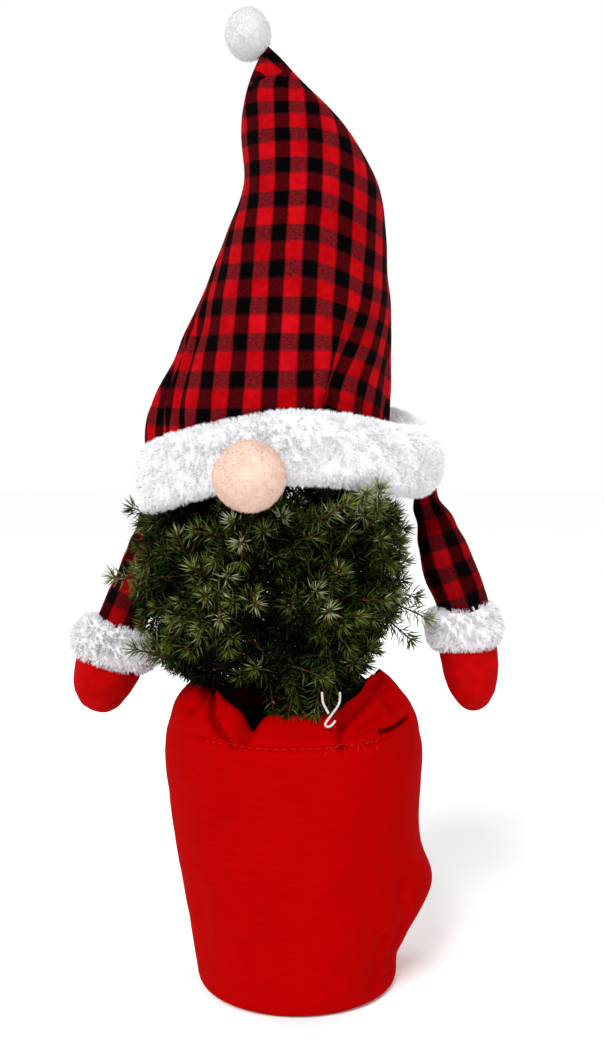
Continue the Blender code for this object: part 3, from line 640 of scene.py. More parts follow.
def tube_mesh(path, radii, sides, relief=None):
    """Points and triangles of a closed tapering tube along a path."""
    path = np.asarray(path, float)
    ways = unit(np.gradient(path, axis=0))
    first = unit(np.cross(ways[0], side_vectors(ways[0])[1]))
    frames = []
    for way in ways:
        first = unit(first - way * np.dot(first, way))
        frames.append((first, np.cross(way, first)))
    turns = around(sides)
    rings = np.array([
        p + r * (np.cos(turns)[:, None] * a + np.sin(turns)[:, None] * b)
        for p, r, (a, b) in zip(path, radii, frames)
    ])
    if relief is not None:
        out = unit(rings - path[:, None])
        rings = pushed(rings, out, relief(rings))
    faces, _ = grid(len(path), sides)
    triangles = as_triangles(faces)
    points = np.concatenate((rings.reshape(-1, 3), path[:1], path[-1:]))
    first_end, last_end = len(points) - 2, len(points) - 1
    last = (len(path) - 1) * sides
    ring = np.arange(sides)
    after = (ring + 1) % sides
    caps = [(b, a, first_end) for a, b in zip(ring, after)]
    caps += [(last + a, last + b, last_end) for a, b in zip(ring, after)]
    return points, np.concatenate((triangles, caps))


def gather(parts):
    """Joins lists of (points, faces) into one."""
    offset, points, faces = 0, [], []
    for part_points, part_faces in parts:
        points.append(part_points)
        faces.append(np.asarray(part_faces) + offset)
        offset += len(part_points)
    return np.concatenate(points), np.concatenate(faces)


def copied(pattern, count, points_each):
    """Faces of many copies of one small shape."""
    faces = np.arange(count)[:, None, None] * points_each + np.array(pattern)
    return faces.reshape(-1, 3)


def spindles(starts, ends, widths, bend=None, fullest=0.4):
    """Closed three-sided spindles of 6 triangles from starts to ends, for needles and buds."""
    ways = unit(ends - starts)
    first, second = side_vectors(ways)
    middles = starts + (ends - starts) * fullest
    if bend is not None:
        middles = middles + bend
    rim = []
    for k in range(3):
        turn = 2 * math.pi * k / 3
        rim.append(middles + widths[:, None] / 2 * (first * math.cos(turn) + second * math.sin(turn)))
    points = np.stack((starts, *rim, ends), 1)
    pattern = ((0, 2, 1), (0, 3, 2), (0, 1, 3), (1, 2, 4), (2, 3, 4), (3, 1, 4))
    return points.reshape(-1, 3), copied(pattern, len(starts), 5)


# Materials

class Look:
    """A procedural material, built node by node."""

    def __init__(self, name, roughness, colour=(0.8, 0.8, 0.8), **constants):
        self.material = bpy.data.materials.new(name)
        self.material.use_nodes = True
        self.tree = self.material.node_tree
        self.shader = self.tree.nodes["Principled BSDF"]
        self.shader.inputs["Base Color"].default_value = (*colour, 1.0)
        self.shader.inputs["Roughness"].default_value = roughness
        for key, value in constants.items():
            self.shader.inputs[key.replace("_", " ")].default_value = value

    def node(self, kind, inputs=None, **settings):
        made = self.tree.nodes.new("ShaderNode" + kind)
        for key, value in settings.items():
            setattr(made, key, value)
        for key, value in (inputs or {}).items():
            self.feed(made.inputs[key], value)
        return made

    def feed(self, socket, value):
        if isinstance(value, bpy.types.NodeSocket):
            self.tree.links.new(value, socket)
        elif socket.type == "RGBA":
            socket.default_value = (*value, 1.0)
        else:
            socket.default_value = value

    def place(self):
        return self.node("TexCoord").outputs["Object"]

    def cloth(self):
        """Place on the flat cloth, in metres, as its two coordinates."""
        apart = self.node("SeparateXYZ", {0: self.node("UVMap", uv_map="cloth").outputs[0]})
        return apart.outputs["X"], apart.outputs["Y"]

    def math(self, operation, a, b=0.0):
        return self.node("Math", {0: a, 1: b}, operation=operation).outputs[0]

    def noise(self, size, where=None, detail=3.0, roughness=0.55):
        inputs = {
            "Vector": where or self.place(),
            "Scale": 1 / size,
            "Detail": detail,
            "Roughness": roughness,
        }
        return self.node("TexNoise", inputs).outputs["Fac"]

    def stretch(self, low, high, value, to_low=0.0, to_high=1.0):
        inputs = {"Value": value, "From Min": low, "From Max": high, "To Min": to_low, "To Max": to_high}
        return self.node("MapRange", inputs).outputs[0]

    def mix(self, share, a, b):
        inputs = {"Factor": share, 6: a, 7: b}
        return self.node("Mix", inputs, data_type="RGBA").outputs[2]

    def colour(self, value):
        self.feed(self.shader.inputs["Base Color"], value)

    def bump(self, height, distance, strength=1.0):
        inputs = {"Height": height, "Distance": distance, "Strength": strength}
        made = self.node("Bump", inputs)
        if self.shader.inputs["Normal"].is_linked:
            self.feed(made.inputs["Normal"], self.shader.inputs["Normal"].links[0].from_socket)
        self.feed(self.shader.inputs["Normal"], made.outputs[0])


def weave_height(look, u, v, thread):
    """Height of a plain weave: over and under threads in both directions."""
    across = look.math("SINE", look.math("MULTIPLY", u, 2 * math.pi / thread))
    along = look.math("SINE", look.math("MULTIPLY", v, 2 * math.pi / thread))
    return look.math("MULTIPLY", across, along)


def check_cloth(name, tone):
    """Brushed buffalo check: red and black bands, crossing in two darker reds."""
    look = Look(name, 0.9, Specular_IOR_Level=0.012)

    # tone scales all the cloth's colours; where it is below 1, as on the sleeves, the darkening is
    # painted shade
    def with_painted_shade(*colour):
        return tuple(c * tone for c in colour)

    u, v = look.cloth()
    wander = look.stretch(0, 1, look.noise(0.02), -0.0008, 0.0008)

    def band(value):
        pairs = look.math("DIVIDE", look.math("ADD", value, wander), 2 * CHECK_SQUARE)
        cycle = look.math("FRACT", pairs)
        rise = look.stretch(0.43, 0.52, cycle)
        fall = look.stretch(0.93, 1.0, cycle, 1.0, 0.0)
        return look.math("MULTIPLY", rise, fall)

    black_warp, black_weft = band(u), band(v)
    thread = 0.0009
    twill = look.math("SINE", look.math("MULTIPLY", look.math("ADD", u, v), 2 * math.pi / thread))
    drawn = look.node("CombineXYZ", {0: look.math("MULTIPLY", u, 0.30), 1: v}).outputs[0]
    speckle = look.stretch(0.30, 0.70, look.noise(0.0007, drawn, detail=2.0))
    small_cloud = look.math("MULTIPLY", look.noise(0.005), 0.4)
    cloud = look.math("ADD", small_cloud, look.math("MULTIPLY", look.noise(0.03), 0.6))
    cloud = look.stretch(0.35, 0.65, cloud)
    red = look.mix(cloud, with_painted_shade(0.280, 0.0006, 0.0018), with_painted_shade(0.450, 0.0030, 0.0070))
    black = look.mix(look.noise(0.003), (0.0006, 0.0004, 0.0004), (0.0022, 0.0014, 0.0016))
    dark_cross = look.mix(speckle, with_painted_shade(0.022, 0.0004, 0.0008), with_painted_shade(0.070, 0.0020, 0.0034))
    light_cross = look.mix(speckle, with_painted_shade(0.056, 0.0012, 0.0022), with_painted_shade(0.175, 0.0090, 0.0130))
    red_weft = look.mix(black_warp, red, dark_cross)
    dark_weft = look.mix(black_warp, light_cross, black)
    look.colour(look.mix(black_weft, red_weft, dark_weft))
    look.bump(look.noise(0.006, detail=4.0), 0.0006, 0.35)
    look.bump(look.math("ADD", weave_height(look, u, v, thread), twill), 0.00008, 0.6)
    return look.material


def red_cloth():
    """Plain woven cover cloth, with faint slubs along its threads."""
    look = Look("red_cover_cloth", 0.95, Specular_IOR_Level=0.015)
    u, v = look.cloth()
    stretched = look.node("CombineXYZ", {0: look.math("MULTIPLY", u, 0.12), 1: v}).outputs[0]
    slub = look.noise(0.0022, stretched, detail=4.0)
    cloud = look.noise(0.03)
    tone = look.math("ADD", look.math("MULTIPLY", slub, 0.6), look.math("MULTIPLY", cloud, 0.4))
    look.colour(look.mix(look.stretch(0.3, 0.7, tone), (0.302, 0.0, 0.0), (0.374, 0.0, 0.0)))
    look.bump(look.noise(0.008, detail=4.0), 0.0008, 0.25)
    look.bump(slub, 0.0003, 0.5)
    look.bump(weave_height(look, u, v, 0.0014), 0.00012, 0.7)
    return look.material


def fur(name, colour_low, colour_high):
    """White pile, with faint clouds."""
    look = Look(name, 0.95, Specular_IOR_Level=0.10)
    look.colour(look.mix(look.noise(0.007), colour_low, colour_high))
    return look.material


def felt(name, low, high, deep, patch, speck_share):
    """Matted fibres: a mottled colour, a few darker specks and a fine nap."""
    look = Look(name, 0.95, Specular_IOR_Level=0.05)
    base = look.mix(look.stretch(0.3, 0.7, look.noise(patch, detail=4.0)), low, high)
    specks = look.stretch(0.56, 0.75, look.noise(0.0009, detail=2.0))
    look.colour(look.mix(look.math("MULTIPLY", specks, speck_share), base, deep))
    look.bump(look.noise(0.0045, detail=5.0), 0.0008, 0.4)
    look.bump(look.noise(0.0007, detail=3.0), 0.0002, 0.6)
    return look.material


def bark():
    look = Look("bark_relief", 0.92)
    x = look.node("Mapping", {"Vector": look.place(), "Scale": (1.0, 1.0, 0.35)}).outputs[0]
    scales = look.noise(0.0035, x, detail=6.0, roughness=0.7)
    look.colour(look.mix(look.stretch(0.35, 0.65, scales), (0.045, 0.026, 0.016), (0.190, 0.118, 0.070)))
    look.bump(scales, 0.0010, 0.9)
    return look.material


def plain_look(name, colour, roughness, variation, size, **constants):
    """A base colour with light and dark patches of the given size, and a matching bump."""
    look = Look(name, roughness, **constants)
    low = tuple(c * (1 - variation) for c in colour)
    high = tuple(min(1.0, c * (1 + variation)) for c in colour)
    patches = look.noise(size, detail=5.0)
    look.colour(look.mix(look.stretch(0.3, 0.7, patches), low, high))
    look.bump(patches, size / 3, 0.4)
    return look.material


def needle_looks():
    return [
        Look(f"needle_green_{i + 1}", 0.50, colour, Specular_IOR_Level=0.05).material
        for i, colour in enumerate(NEEDLE_GREENS)
    ]


# Trunk and boughs

def trunk_point(share):
    """The trunk's middle line at shares of its height."""
    left = TRUNK_SWAY_LEFT * np.sin(math.pi * share)
    back = TRUNK_SWAY_BACK * np.sin(2 * math.pi * share)
    share = np.asarray(share, float)[..., None]
    sway = np.stack((-left, back, np.zeros_like(left)), -1)
    return TRUNK_FOOT + (TRUNK_TIP - TRUNK_FOOT) * share + sway


def trunk_share(height):
    return (height - TRUNK_FOOT[2]) / (TRUNK_TIP[2] - TRUNK_FOOT[2])


def trunk_radius(share):
    height = share * (TRUNK_TIP[2] - TRUNK_FOOT[2])
    taper = TRUNK_FOOT_RADIUS + (TRUNK_TIP_RADIUS - TRUNK_FOOT_RADIUS) * share
    return taper + ROOT_FLARE * np.exp(-height / ROOT_FLARE_HEIGHT)


def bark_relief(points):
    """Scaly plates: lumps longer along the limb than across, with cracks between them."""
    squashed = points * (1.0, 1.0, 0.45)
    plates = np.abs(noise(squashed, BARK_PLATE_SIZE, 5))
    rough = layered_noise(points, BARK_ROUGHNESS_SIZE, 2, 9)
    return BARK_PLATES * np.clip(plates * 2.4, 0, 1) + BARK_ROUGHNESS * rough - BARK_CRACKS


# One mass of foliage: which way it faces, whether the hat hides it, and whether a bough carries it
Mass = namedtuple("Mass", "name middle outward hidden on_bough")


def crown_section(heights):
    """The crown's middle in X, and its half width, at these heights."""
    left = np.interp(heights, CROWN_OUTLINE[:, 0], CROWN_OUTLINE[:, 1])
    right = np.interp(heights, CROWN_OUTLINE[:, 0], CROWN_OUTLINE[:, 2])
    return (left + right) / 2, (right - left) / 2


def plan_masses():
    """Each tier's masses, spread evenly round, and the top one."""
    masses = []
    for tier, count, height, reach, first, on_bough in TIERS:
        middle_x = float(crown_section(height)[0])
        for i in range(count):
            bearing = math.radians(first) + 2 * math.pi * i / count
            outward = np.array((math.cos(bearing), math.sin(bearing), 0.0))
            middle = np.array((middle_x, 0.0, height)) + outward * reach
            masses.append(Mass(f"{tier}_{i + 1}", middle, outward, tier == "hat", on_bough))
    masses.append(Mass("top", TOP_MIDDLE, np.array((0.0, 0.0, 1.0)), True, False))
    return masses


def limb_route(mass):
    """The limb's path from inside the trunk to the middle of its mass."""
    if mass.name == "top":
        return np.linspace(TRUNK_TIP, mass.middle, 6)
    heart = trunk_point(trunk_share(mass.middle[2]))
    away = np.linalg.norm((mass.middle - heart)[:2])
    root_height = mass.middle[2] - away * math.tan(LIMB_RISE)
    start = trunk_point(trunk_share(root_height))
    share = np.linspace(0, 1, 12)[:, None]
    sag = 0.06 * away * (4 * share * (1 - share)) ** 2
    return start + (mass.middle - start) * share - sag * np.array((0.0, 0.0, 1.0))


def make_trunk(masses, look):
    """The trunk and a limb to each mass, as one piece."""
    shares = np.linspace(0, 1, 150)
    path = trunk_point(shares)
    parts = [tube_mesh(path, trunk_radius(shares), 30, bark_relief)]
    for mass in masses:
        path = limb_route(mass)
        root = BOUGH_ROOT_RADIUS if mass.on_bough else BOUGH_TIP_RADIUS
        radii = np.linspace(root, BOUGH_TIP_RADIUS * 0.8, len(path))
        parts.append(tube_mesh(path, radii, 10, lambda p: bark_relief(p) * 0.5))
    points, faces = gather(parts)
    trunk = add_mesh("trunk_and_boughs", points, faces, [look])
    boughs = [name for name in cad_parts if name.startswith("bough_")]
    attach(trunk, "root")
    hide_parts("trunk", *boughs)


# Foliage

# Twigs, needles and buds of the whole crown, as they are collected
Growth = namedtuple("Growth", "twigs starts ends bends shades bud_starts bud_ends")


def node_tree_of(name):
    """The surface of a solid, to measure distances from."""
    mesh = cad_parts[name].data
    points = [v.co.copy() for v in mesh.vertices]
    return BVHTree.FromPolygons(points, [tuple(p.vertices) for p in mesh.polygons])


class Space:
    """What a mass may fill: its own cell of the crown, clear of the dress and the pot."""

    def __init__(self, masses):
        self.middles = np.array([mass.middle for mass in masses])
        self.trees = []
        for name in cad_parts:
            if name.startswith(KEPT_CLEAR):
                low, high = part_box(name)
                self.trees.append((np.array(low), np.array(high), node_tree_of(name)))

    def holds(self, points, own, margin):
        """True for each point in the crown, off its edge by a margin, and in the mass's own cell."""
        middle_x, radius = crown_section(points[:, 2])
        from_axis = np.hypot(points[:, 0] - middle_x, points[:, 1])
        radius_below = crown_section(points[:, 2] - margin)[1]
        good = (from_axis < radius - margin) & (from_axis < radius_below)
        good &= points[:, 2] > CROWN_OUTLINE[0, 0] + margin
        good &= points[:, 2] < CROWN_OUTLINE[-1, 0]
        mine = self.middles[own]
        near = ((points - mine) ** 2).sum(1)
        for i, other in enumerate(self.middles):
            if i != own:
                border = 2 * CELL_OVERLAP * np.linalg.norm(other - mine)
                good &= ((points - other) ** 2).sum(1) - near > -border
        return good

    def blocked(self, point, clearance):
        """True if the point is in or close to the dress or the pot cover."""
        for low, high, tree in self.trees:
            if np.all(point > low - clearance) and np.all(point < high + clearance):
                near, normal, _, distance = tree.find_nearest(Vector(point))
                if distance < clearance or (Vector(point) - near).dot(normal) < 0:
                    return True
        return False

    def reach(self, start, way, most, own, margin):
        """How far a twig may run from its start."""
        steps = np.arange(1, int(most / SEARCH_STEP) + 1) * SEARCH_STEP
        points = start + way * steps[:, None]
        good = self.holds(points, own, margin)
        count = len(steps) if good.all() else int(np.argmin(good))
        while count > 0 and self.blocked(points[count - 1], CLEARANCE):
            count -= 1
        return steps[count - 1] if count > 0 else 0.0


def exposure(point):
    """0 at the crown's middle and 1 at its outline; its foot counts as open too."""
    middle_x, radius = crown_section(point[2])
    out = math.hypot(point[0] - middle_x, point[1]) / radius
    under = 1 - (point[2] - CROWN_OUTLINE[0, 0]) / 0.05
    return max(out, min(0.9, under))


def set_needles(growth, path, from_share, rng, density=1.0, shade_steps_added=0.0):
    """Needles in a spiral round a twig, leaning forwards more and more up to its bud."""
    path = np.asarray(path)
    length = np.linalg.norm(np.diff(path, axis=0), axis=1).sum()
    along = max(3, int(length * (1 - from_share) * NEEDLES_PER_METRE * density))
    tuft = int(TIP_NEEDLES * density)
    shares = np.concatenate((
        from_share + (1 - from_share) * ((np.arange(along) + 0.5) / along) ** 1.25,
        np.full(tuft, TIP_TUFT_AT),
    ))
    roots = catmull_rom(path, shares)
    ways = unit(catmull_rom(path, np.minimum(shares + 0.01, 1.0)) - catmull_rom(path, shares - 0.02))
    first, second = side_vectors(ways)
    turns = rng.uniform(0, 2 * math.pi) + GOLDEN_ANGLE * np.arange(len(shares))
    turns += rng.normal(0, 0.25, len(shares))
    out = np.cos(turns)[:, None] * first + np.sin(turns)[:, None] * second
    lean = NEEDLE_LEAN + (NEEDLE_LEAN_AT_TIP - NEEDLE_LEAN) * smooth_step(shares, 0.5, 1.0)
    lean = np.radians(lean) + rng.normal(0, 0.13, len(shares))
    lean[along:] = np.radians(rng.uniform(*TIP_TUFT_LEAN, tuft))
    way = ways * np.cos(lean)[:, None] + out * np.sin(lean)[:, None]
    size = NEEDLE_LENGTH * rng.uniform(0.80, 1.08, len(shares))
    size = size * (1 - 0.22 * smooth_step(shares, 0.8, 1))
    ends = roots + way * size[:, None]
    growth.starts.append(roots)
    growth.ends.append(ends)
    growth.bends.append((out - way * 0.3) * 0.06 * size[:, None])
    tip = path[-1]
    # Painted light and shade: shoots near the outline lighter, also for their fresh growth; darker deep
    # inside, at the crown's foot and towards its sides, and needles darker further in along their twig
    fresh_and_painted_light = float(smooth_step(exposure(tip), EXPOSED_FROM, 1.0))
    patch = float(noise(tip, PATCH_SIZE, 77))
    low = 1 - float(smooth_step(tip[2], *FOOT_HEIGHTS))
    across = SHADE_ACROSS[0] + SHADE_ACROSS[1] * tip[0] + SHADE_ACROSS[2] * tip[0] ** 2
    shade = SHADE_BY_EXPOSURE * fresh_and_painted_light + across + SHADE_BY_PATCH * patch + SHADE_AT_FOOT * low
    shade += shade_steps_added + rng.normal(0, SHOOTS_DIFFER)
    shades = shade + rng.normal(0, NEEDLES_DIFFER, len(shares)) + SHADE_ALONG * (shares - 0.86)
    # Pale needles: their pale lines, and partly a painted highlight of their gloss
    shades = shades + np.where(rng.uniform(0, 1, len(shares)) < PALE_SHARE, PALER_BY, 0.0)
    growth.shades.append(np.clip(np.round(shades), 0, len(NEEDLE_GREENS) - 1).astype(int))
    forward = ways[-1]
    growth.bud_starts.append(tip - forward * BUD_LENGTH * 0.4)
    growth.bud_ends.append(tip + forward * BUD_LENGTH * 0.6)


def grow_mass(mass, own, space, growth, rng):
    """Twigs from the mass's middle to the edge of its cell, in a spiral all round."""
    count = TWIGS_IN_HIDDEN_MASS if mass.hidden else TWIGS_IN_MASS
    turn = rng.uniform(0, 2 * math.pi)
    for i in range(count):
        z = 1 - 2 * (i + 0.5) / count
        flat = math.sqrt(1 - z * z)
        bearing = turn + GOLDEN_ANGLE * i
        way = np.array((flat * math.cos(bearing), flat * math.sin(bearing), z))
        if way @ mass.outward < MOST_INWARD:
            continue
        way = unit(way + mass.outward * 0.25)
        length = space.reach(mass.middle, way, MOST_TWIG, own, TIP_MARGIN)
        if length < LEAST_TWIG:
            continue
        if noise(mass.middle + way * length, OPEN_SIZE, 91) < OPEN_BELOW:
            length = max(LEAST_TWIG, length - OPEN_DEPTH)
        side = np.cross(way, rng.normal(size=3))
        share = np.linspace(0, 1, 6)[:, None]
        bow = unit(side) * length * rng.uniform(0.02, 0.09)
        path = mass.middle + way * length * share + bow * (4 * share * (1 - share))
        growth.twigs.append(tube_mesh(path, np.linspace(TWIG_RADIUS, SIDE_TWIG_RADIUS, 6), 5))
        thin = 0.5 if mass.hidden else 1.0
        set_needles(growth, path, NEEDLES_FROM, rng, thin)
        if not mass.hidden:
            grow_side_twigs(own, path, length, space, growth, rng)


def grow_side_twigs(own, path, length, space, growth, rng):
    """Side twigs in a spiral round a twig."""
    count = int(length / SIDE_TWIG_SPACING)
    turn = rng.uniform(0, 2 * math.pi)
    for j in range(count):
        share = SIDE_TWIGS_FROM + SIDE_TWIGS_OVER * (j + 0.5) / count
        base, ahead = catmull_rom(path, (share, share + 0.03))
        way = unit(ahead - base)
        first, second = side_vectors(way)
        angle = turn + GOLDEN_ANGLE * j
        out = math.cos(angle) * first + math.sin(angle) * second
        lean = SIDE_TWIG_ANGLE * rng.uniform(0.8, 1.25)
        side_way = way * math.cos(lean) + out * math.sin(lean)
        want = rng.uniform(*SIDE_TWIG_LENGTH)
        side_length = space.reach(base, side_way, want, own, SIDE_TIP_MARGIN)
        if side_length < LEAST_TWIG:
            continue
        steps = np.linspace(0, 1, 4)[:, None]
        side_path = base + side_way * side_length * steps + way * side_length * 0.12 * steps**2
        radii = np.linspace(SIDE_TWIG_RADIUS, SIDE_TWIG_RADIUS * 0.7, 4)
        growth.twigs.append(tube_mesh(side_path, radii, 4))
        # Side twigs' needles are 1.2 steps of green darker, as painted shade
        set_needles(growth, side_path, SIDE_NEEDLES_FROM, rng, 0.75, -1.2)


def grow_strays(growth, masses, rng):
    """The longer shoots, each from the nearest mass."""
    for tip in np.array(STRAY_TIPS):
        gaps = [np.linalg.norm(tip - mass.middle) for mass in masses]
        start = masses[int(np.argmin(gaps))].middle
        bend = (start + tip) / 2 + unit(np.cross(tip - start, rng.normal(size=3))) * min(gaps) * 0.07
        hanging = tip[2] < HANGING_BELOW
        if hanging:
            bend = tip + HANG + rng.normal(0, HANG_DIFFERS, 3)
        path = catmull_rom((start, bend, tip), np.linspace(0, 1, 9))
        thick = SIDE_TWIG_RADIUS if hanging else TWIG_RADIUS
        growth.twigs.append(tube_mesh(path, np.linspace(thick, SIDE_TWIG_RADIUS * 0.7, 9), 5))
        set_needles(growth, path, 0.08 if hanging else 0.40, rng, 1.3, -1.3 if hanging else -1.2)


def make_foliage(masses, greens, twig_look, bud_look):
    """Twigs, needles and buds, without the needles that end in the dress or the pot cover."""
    rng = np.random.default_rng(SEED)
    space = Space(masses)
    growth = Growth(*([] for _ in Growth._fields))
    for own, mass in enumerate(masses):
        grow_mass(mass, own, space, growth, rng)
    grow_strays(growth, masses, rng)
    starts, ends = np.concatenate(growth.starts), np.concatenate(growth.ends)
    bends, shades = np.concatenate(growth.bends), np.concatenate(growth.shades)
    clear = np.array([not space.blocked(point, 0.0) for point in ends])
    starts, ends, bends, shades = starts[clear], ends[clear], bends[clear], shades[clear]
    widths = NEEDLE_WIDTH * rng.uniform(0.8, 1.2, len(starts))
    pieces = []
    count = math.ceil(len(starts) / MOST_NEEDLES_IN_PIECE)
    for i, part in enumerate(np.array_split(np.arange(len(starts)), count)):
        points, faces = spindles(starts[part], ends[part], widths[part], bends[part])
        dealt = np.repeat(shades[part], 6)
        pieces.append(add_mesh(f"needles_{i + 1}", points, faces, greens, dealt))
    points, faces = gather(growth.twigs)
    pieces.append(add_mesh("twigs", points, faces, [twig_look]))
    buds = len(growth.bud_starts)
    points, faces = spindles(
        np.array(growth.bud_starts), np.array(growth.bud_ends), np.full(buds, 2 * BUD_RADIUS)
    )
    pieces.append(add_mesh("buds", points, faces, [bud_look]))
    for piece in pieces:
        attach(piece, "root")
    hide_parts(*[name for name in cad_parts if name.startswith("foliage_")])


# Fur

def strands(name, roots, normals, look, pile, seed):
    """Tufts of tapering strands of pile on a surface, each strand 3 triangles."""
    rng = np.random.default_rng(seed)
    tufts, per_tuft, length = len(roots), pile.per_tuft, pile.length
    first, second = side_vectors(normals)
    lean = np.stack([noise(roots, PILE_CLOUD, seed + k) for k in range(3)], -1) * PILE_LEAN
    lean[:, 2] -= pile.droop
    ways = unit(normals + lean)
    tips = roots + ways * (length * rng.uniform(0.75, 1.10, tufts))[:, None]

    def fan(radius):
        r = radius * np.sqrt(rng.uniform(0, 1, (tufts, per_tuft, 1)))
        a = rng.uniform(0, 2 * math.pi, (tufts, per_tuft, 1))
        return first[:, None] * (r * np.cos(a)) + second[:, None] * (r * np.sin(a))

    starts = roots[:, None] + fan(pile.spread) - normals[:, None] * length * STRAND_ROOT
    ends = tips[:, None] + fan(pile.spread * TUFT_TIP)
    ends = ends + rng.normal(0, length * STRAND_STRAY, (tufts, per_tuft, 3))
    bulge = normals[:, None] * length * STRAND_BULGE + fan(pile.spread * TUFT_MIDDLE)
    starts, ends, bulge = (part.reshape(-1, 3) for part in (starts, ends, bulge))
    middles = (starts + ends) / 2 + bulge
    sides = unit(np.cross(ends - starts, rng.normal(size=starts.shape)))
    half = (pile.width / 2 * rng.uniform(0.7, 1.4, len(starts)))[:, None]
    points = np.stack((
        starts - sides * half,
        starts + sides * half,
        middles + sides * half * 0.8,
        middles - sides * half * 0.8,
        ends,
    ), 1)
    faces = copied(((0, 1, 2), (0, 2, 3), (3, 2, 4)), len(starts), 5)
    return add_mesh(name, points, faces, [look])


def scatter(points, faces, density, rng, keep=None):
    """Random points on triangles, with their normals; density is per square metre."""
    a, b, c = (points[faces[:, k]] for k in range(3))
    cross = np.cross(b - a, c - a)
    area = np.linalg.norm(cross, axis=1) / 2
    normals = unit(cross)
    weight = area if keep is None else area * keep((a + b + c) / 3, normals)
    count = int(weight.sum() * density)
    chosen = rng.choice(len(faces), count, p=weight / weight.sum())
    u, v = rng.uniform(0, 1, (2, count, 1))
    flip = (u + v) > 1
    u, v = np.where(flip, 1 - u, u), np.where(flip, 1 - v, v)
    a, b, c = a[chosen], b[chosen], c[chosen]
    return a + (b - a) * u + (c - a) * v, normals[chosen]


def add_pile(name, points, faces, look, pile, scatter_seed, strand_seed, keep=None):
    """Pile all over a surface, thinner where keep is less than 1."""
    rng = np.random.default_rng(scatter_seed)
    roots, normals = scatter(points.reshape(-1, 3), as_triangles(faces), pile.density, rng, keep)
    return strands(name, roots, normals, look, pile, strand_seed)


def superellipse(angles, power):
    """Across and up, from -1 to 1, round a squarish ring."""
    c, s = np.cos(angles), np.sin(angles)
    return np.sign(c) * np.abs(c) ** (2 / power), np.sign(s) * np.abs(s) ** (2 / power)


# Padded pieces

def weld(obj):
    """Joins points that lie on each other, as at a ball's poles."""
    modifier = obj.modifiers.new("weld", "WELD")
    modifier.merge_threshold = WELD_GAP
    apply_modifiers(obj)


def add_padded(name, points, look):
    """A closed padded piece from its grid of points, and the faces that its pile stands on."""
    faces = faces_out(points, grid(len(points), points.shape[1])[0])
    piece = add_mesh(name, points, faces, [look])
    weld(piece)
    return piece, faces


def cloth_places(across, along, wide):
    """Place on the flat cloth of each face's corner, from its column's and its row's places."""
    places = np.stack(np.broadcast_arrays(across[None], along[:, None]), -1)
    return places.reshape(-1, 2)[wide.ravel()]


# Brim

def brim_section(bearing):
    """Inner edge, outer edge and middle height of the band at bearings from the inner centre."""
    shift = BRIM_OUTER_X - BRIM_INNER_X
    c, s = np.cos(bearing), np.sin(bearing)
    a = (c / BRIM_OUTER_RADIUS) ** 2 + (s / BRIM_OUTER_DEPTH) ** 2
    b = c * shift / BRIM_OUTER_RADIUS**2
    outer = (b + np.sqrt(b * b - a * ((shift / BRIM_OUTER_RADIUS) ** 2 - 1))) / a
    middle = BRIM_MIDDLE + BRIM_TILT * c + BRIM_BACK_RISE * s - BRIM_SADDLE * np.cos(2 * bearing)
    middle = middle + BRIM_CURL * np.exp(-((bearing_from(bearing, BRIM_CURL_BEARING) / 0.42) ** 2))
    return BRIM_INNER_RADIUS, outer, middle


def brim_skin():
    """The brim under its pile: a lumpy band, smaller than the fur's tips by most of its length."""
    columns, sections = 260, 44
    bearing = around(columns)
    inner, outer, middle = brim_section(bearing)
    across, up = superellipse(-around(sections), BRIM_SQUARENESS)
    inset = PILE_LENGTH * 0.70
    half_width = (outer - inner) / 2 - inset * 0.6
    r = (inner + outer)[:, None] / 2 - inset * 0.35 + across * half_width[:, None]
    z = middle[:, None] + up * (BRIM_HALF_HEIGHT - inset * 0.8)
    x = BRIM_INNER_X + r * np.cos(bearing)[:, None]
    y = r * np.sin(bearing)[:, None]
    points = np.stack((x, y, z), -1)
    normals = grid_normals(points)
    return pushed(points, normals, lumps(points, BRIM_LUMPS))


def make_brim(look):
    """The band's skin, and its pile in two pieces."""
    points = brim_skin()
    faces, _ = grid(points.shape[0], points.shape[1])
    last = (points.shape[0] - 1) * points.shape[1]
    row = np.arange(points.shape[1])
    after = (row + 1) % points.shape[1]
    close = np.stack((last + row, last + after, after, row), -1)
    faces = faces_out(points, np.concatenate((faces, close)))
    skin = add_mesh("brim_skin", points, faces, [look])

    def keep(places, normals):
        """Less pile on the inner side, and none under the hat's edge."""
        r = np.hypot(places[:, 0] - BRIM_INNER_X, places[:, 1])
        inner = normals[:, 0] * (places[:, 0] - BRIM_INNER_X) + normals[:, 1] * places[:, 1] < 0
        under_hat = (r < BARE_UNDER_HAT) & (normals[:, 2] > 0.3)
        return np.where(under_hat, 0.0, np.where(inner, BRIM_INNER_PILE, 1.0))

    rng = np.random.default_rng(SEED + 1)
    roots, normals = scatter(points.reshape(-1, 3), as_triangles(faces), BRIM_PILE.density, rng, keep)
    left = roots[:, 0] < BRIM_OUTER_X
    pieces = [skin]
    for name, part in (("brim_pile_left", left), ("brim_pile_right", ~left)):
        pieces.append(strands(name, roots[part], normals[part], look, BRIM_PILE, 1))
    for piece in pieces:
        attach(piece, "root")
    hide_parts("hat_brim")


# Hat

def hat_seat(points, tree):
    """Height at which the hat's edge, at each point, just clears the brim's solid under it."""
    seats = []
    for point in points:
        inwards = Vector((BRIM_INNER_X - point[0], -point[1], 0.0)).normalized()
        tops = []
        for step in (0.0, 0.0020):
            above = Vector((point[0], point[1], 1.0)) + inwards * step
            tops.append(tree.ray_cast(above, Vector((0.0, 0.0, -1.0)))[0].z)
        seats.append(max(tops))
    return np.array(seats)


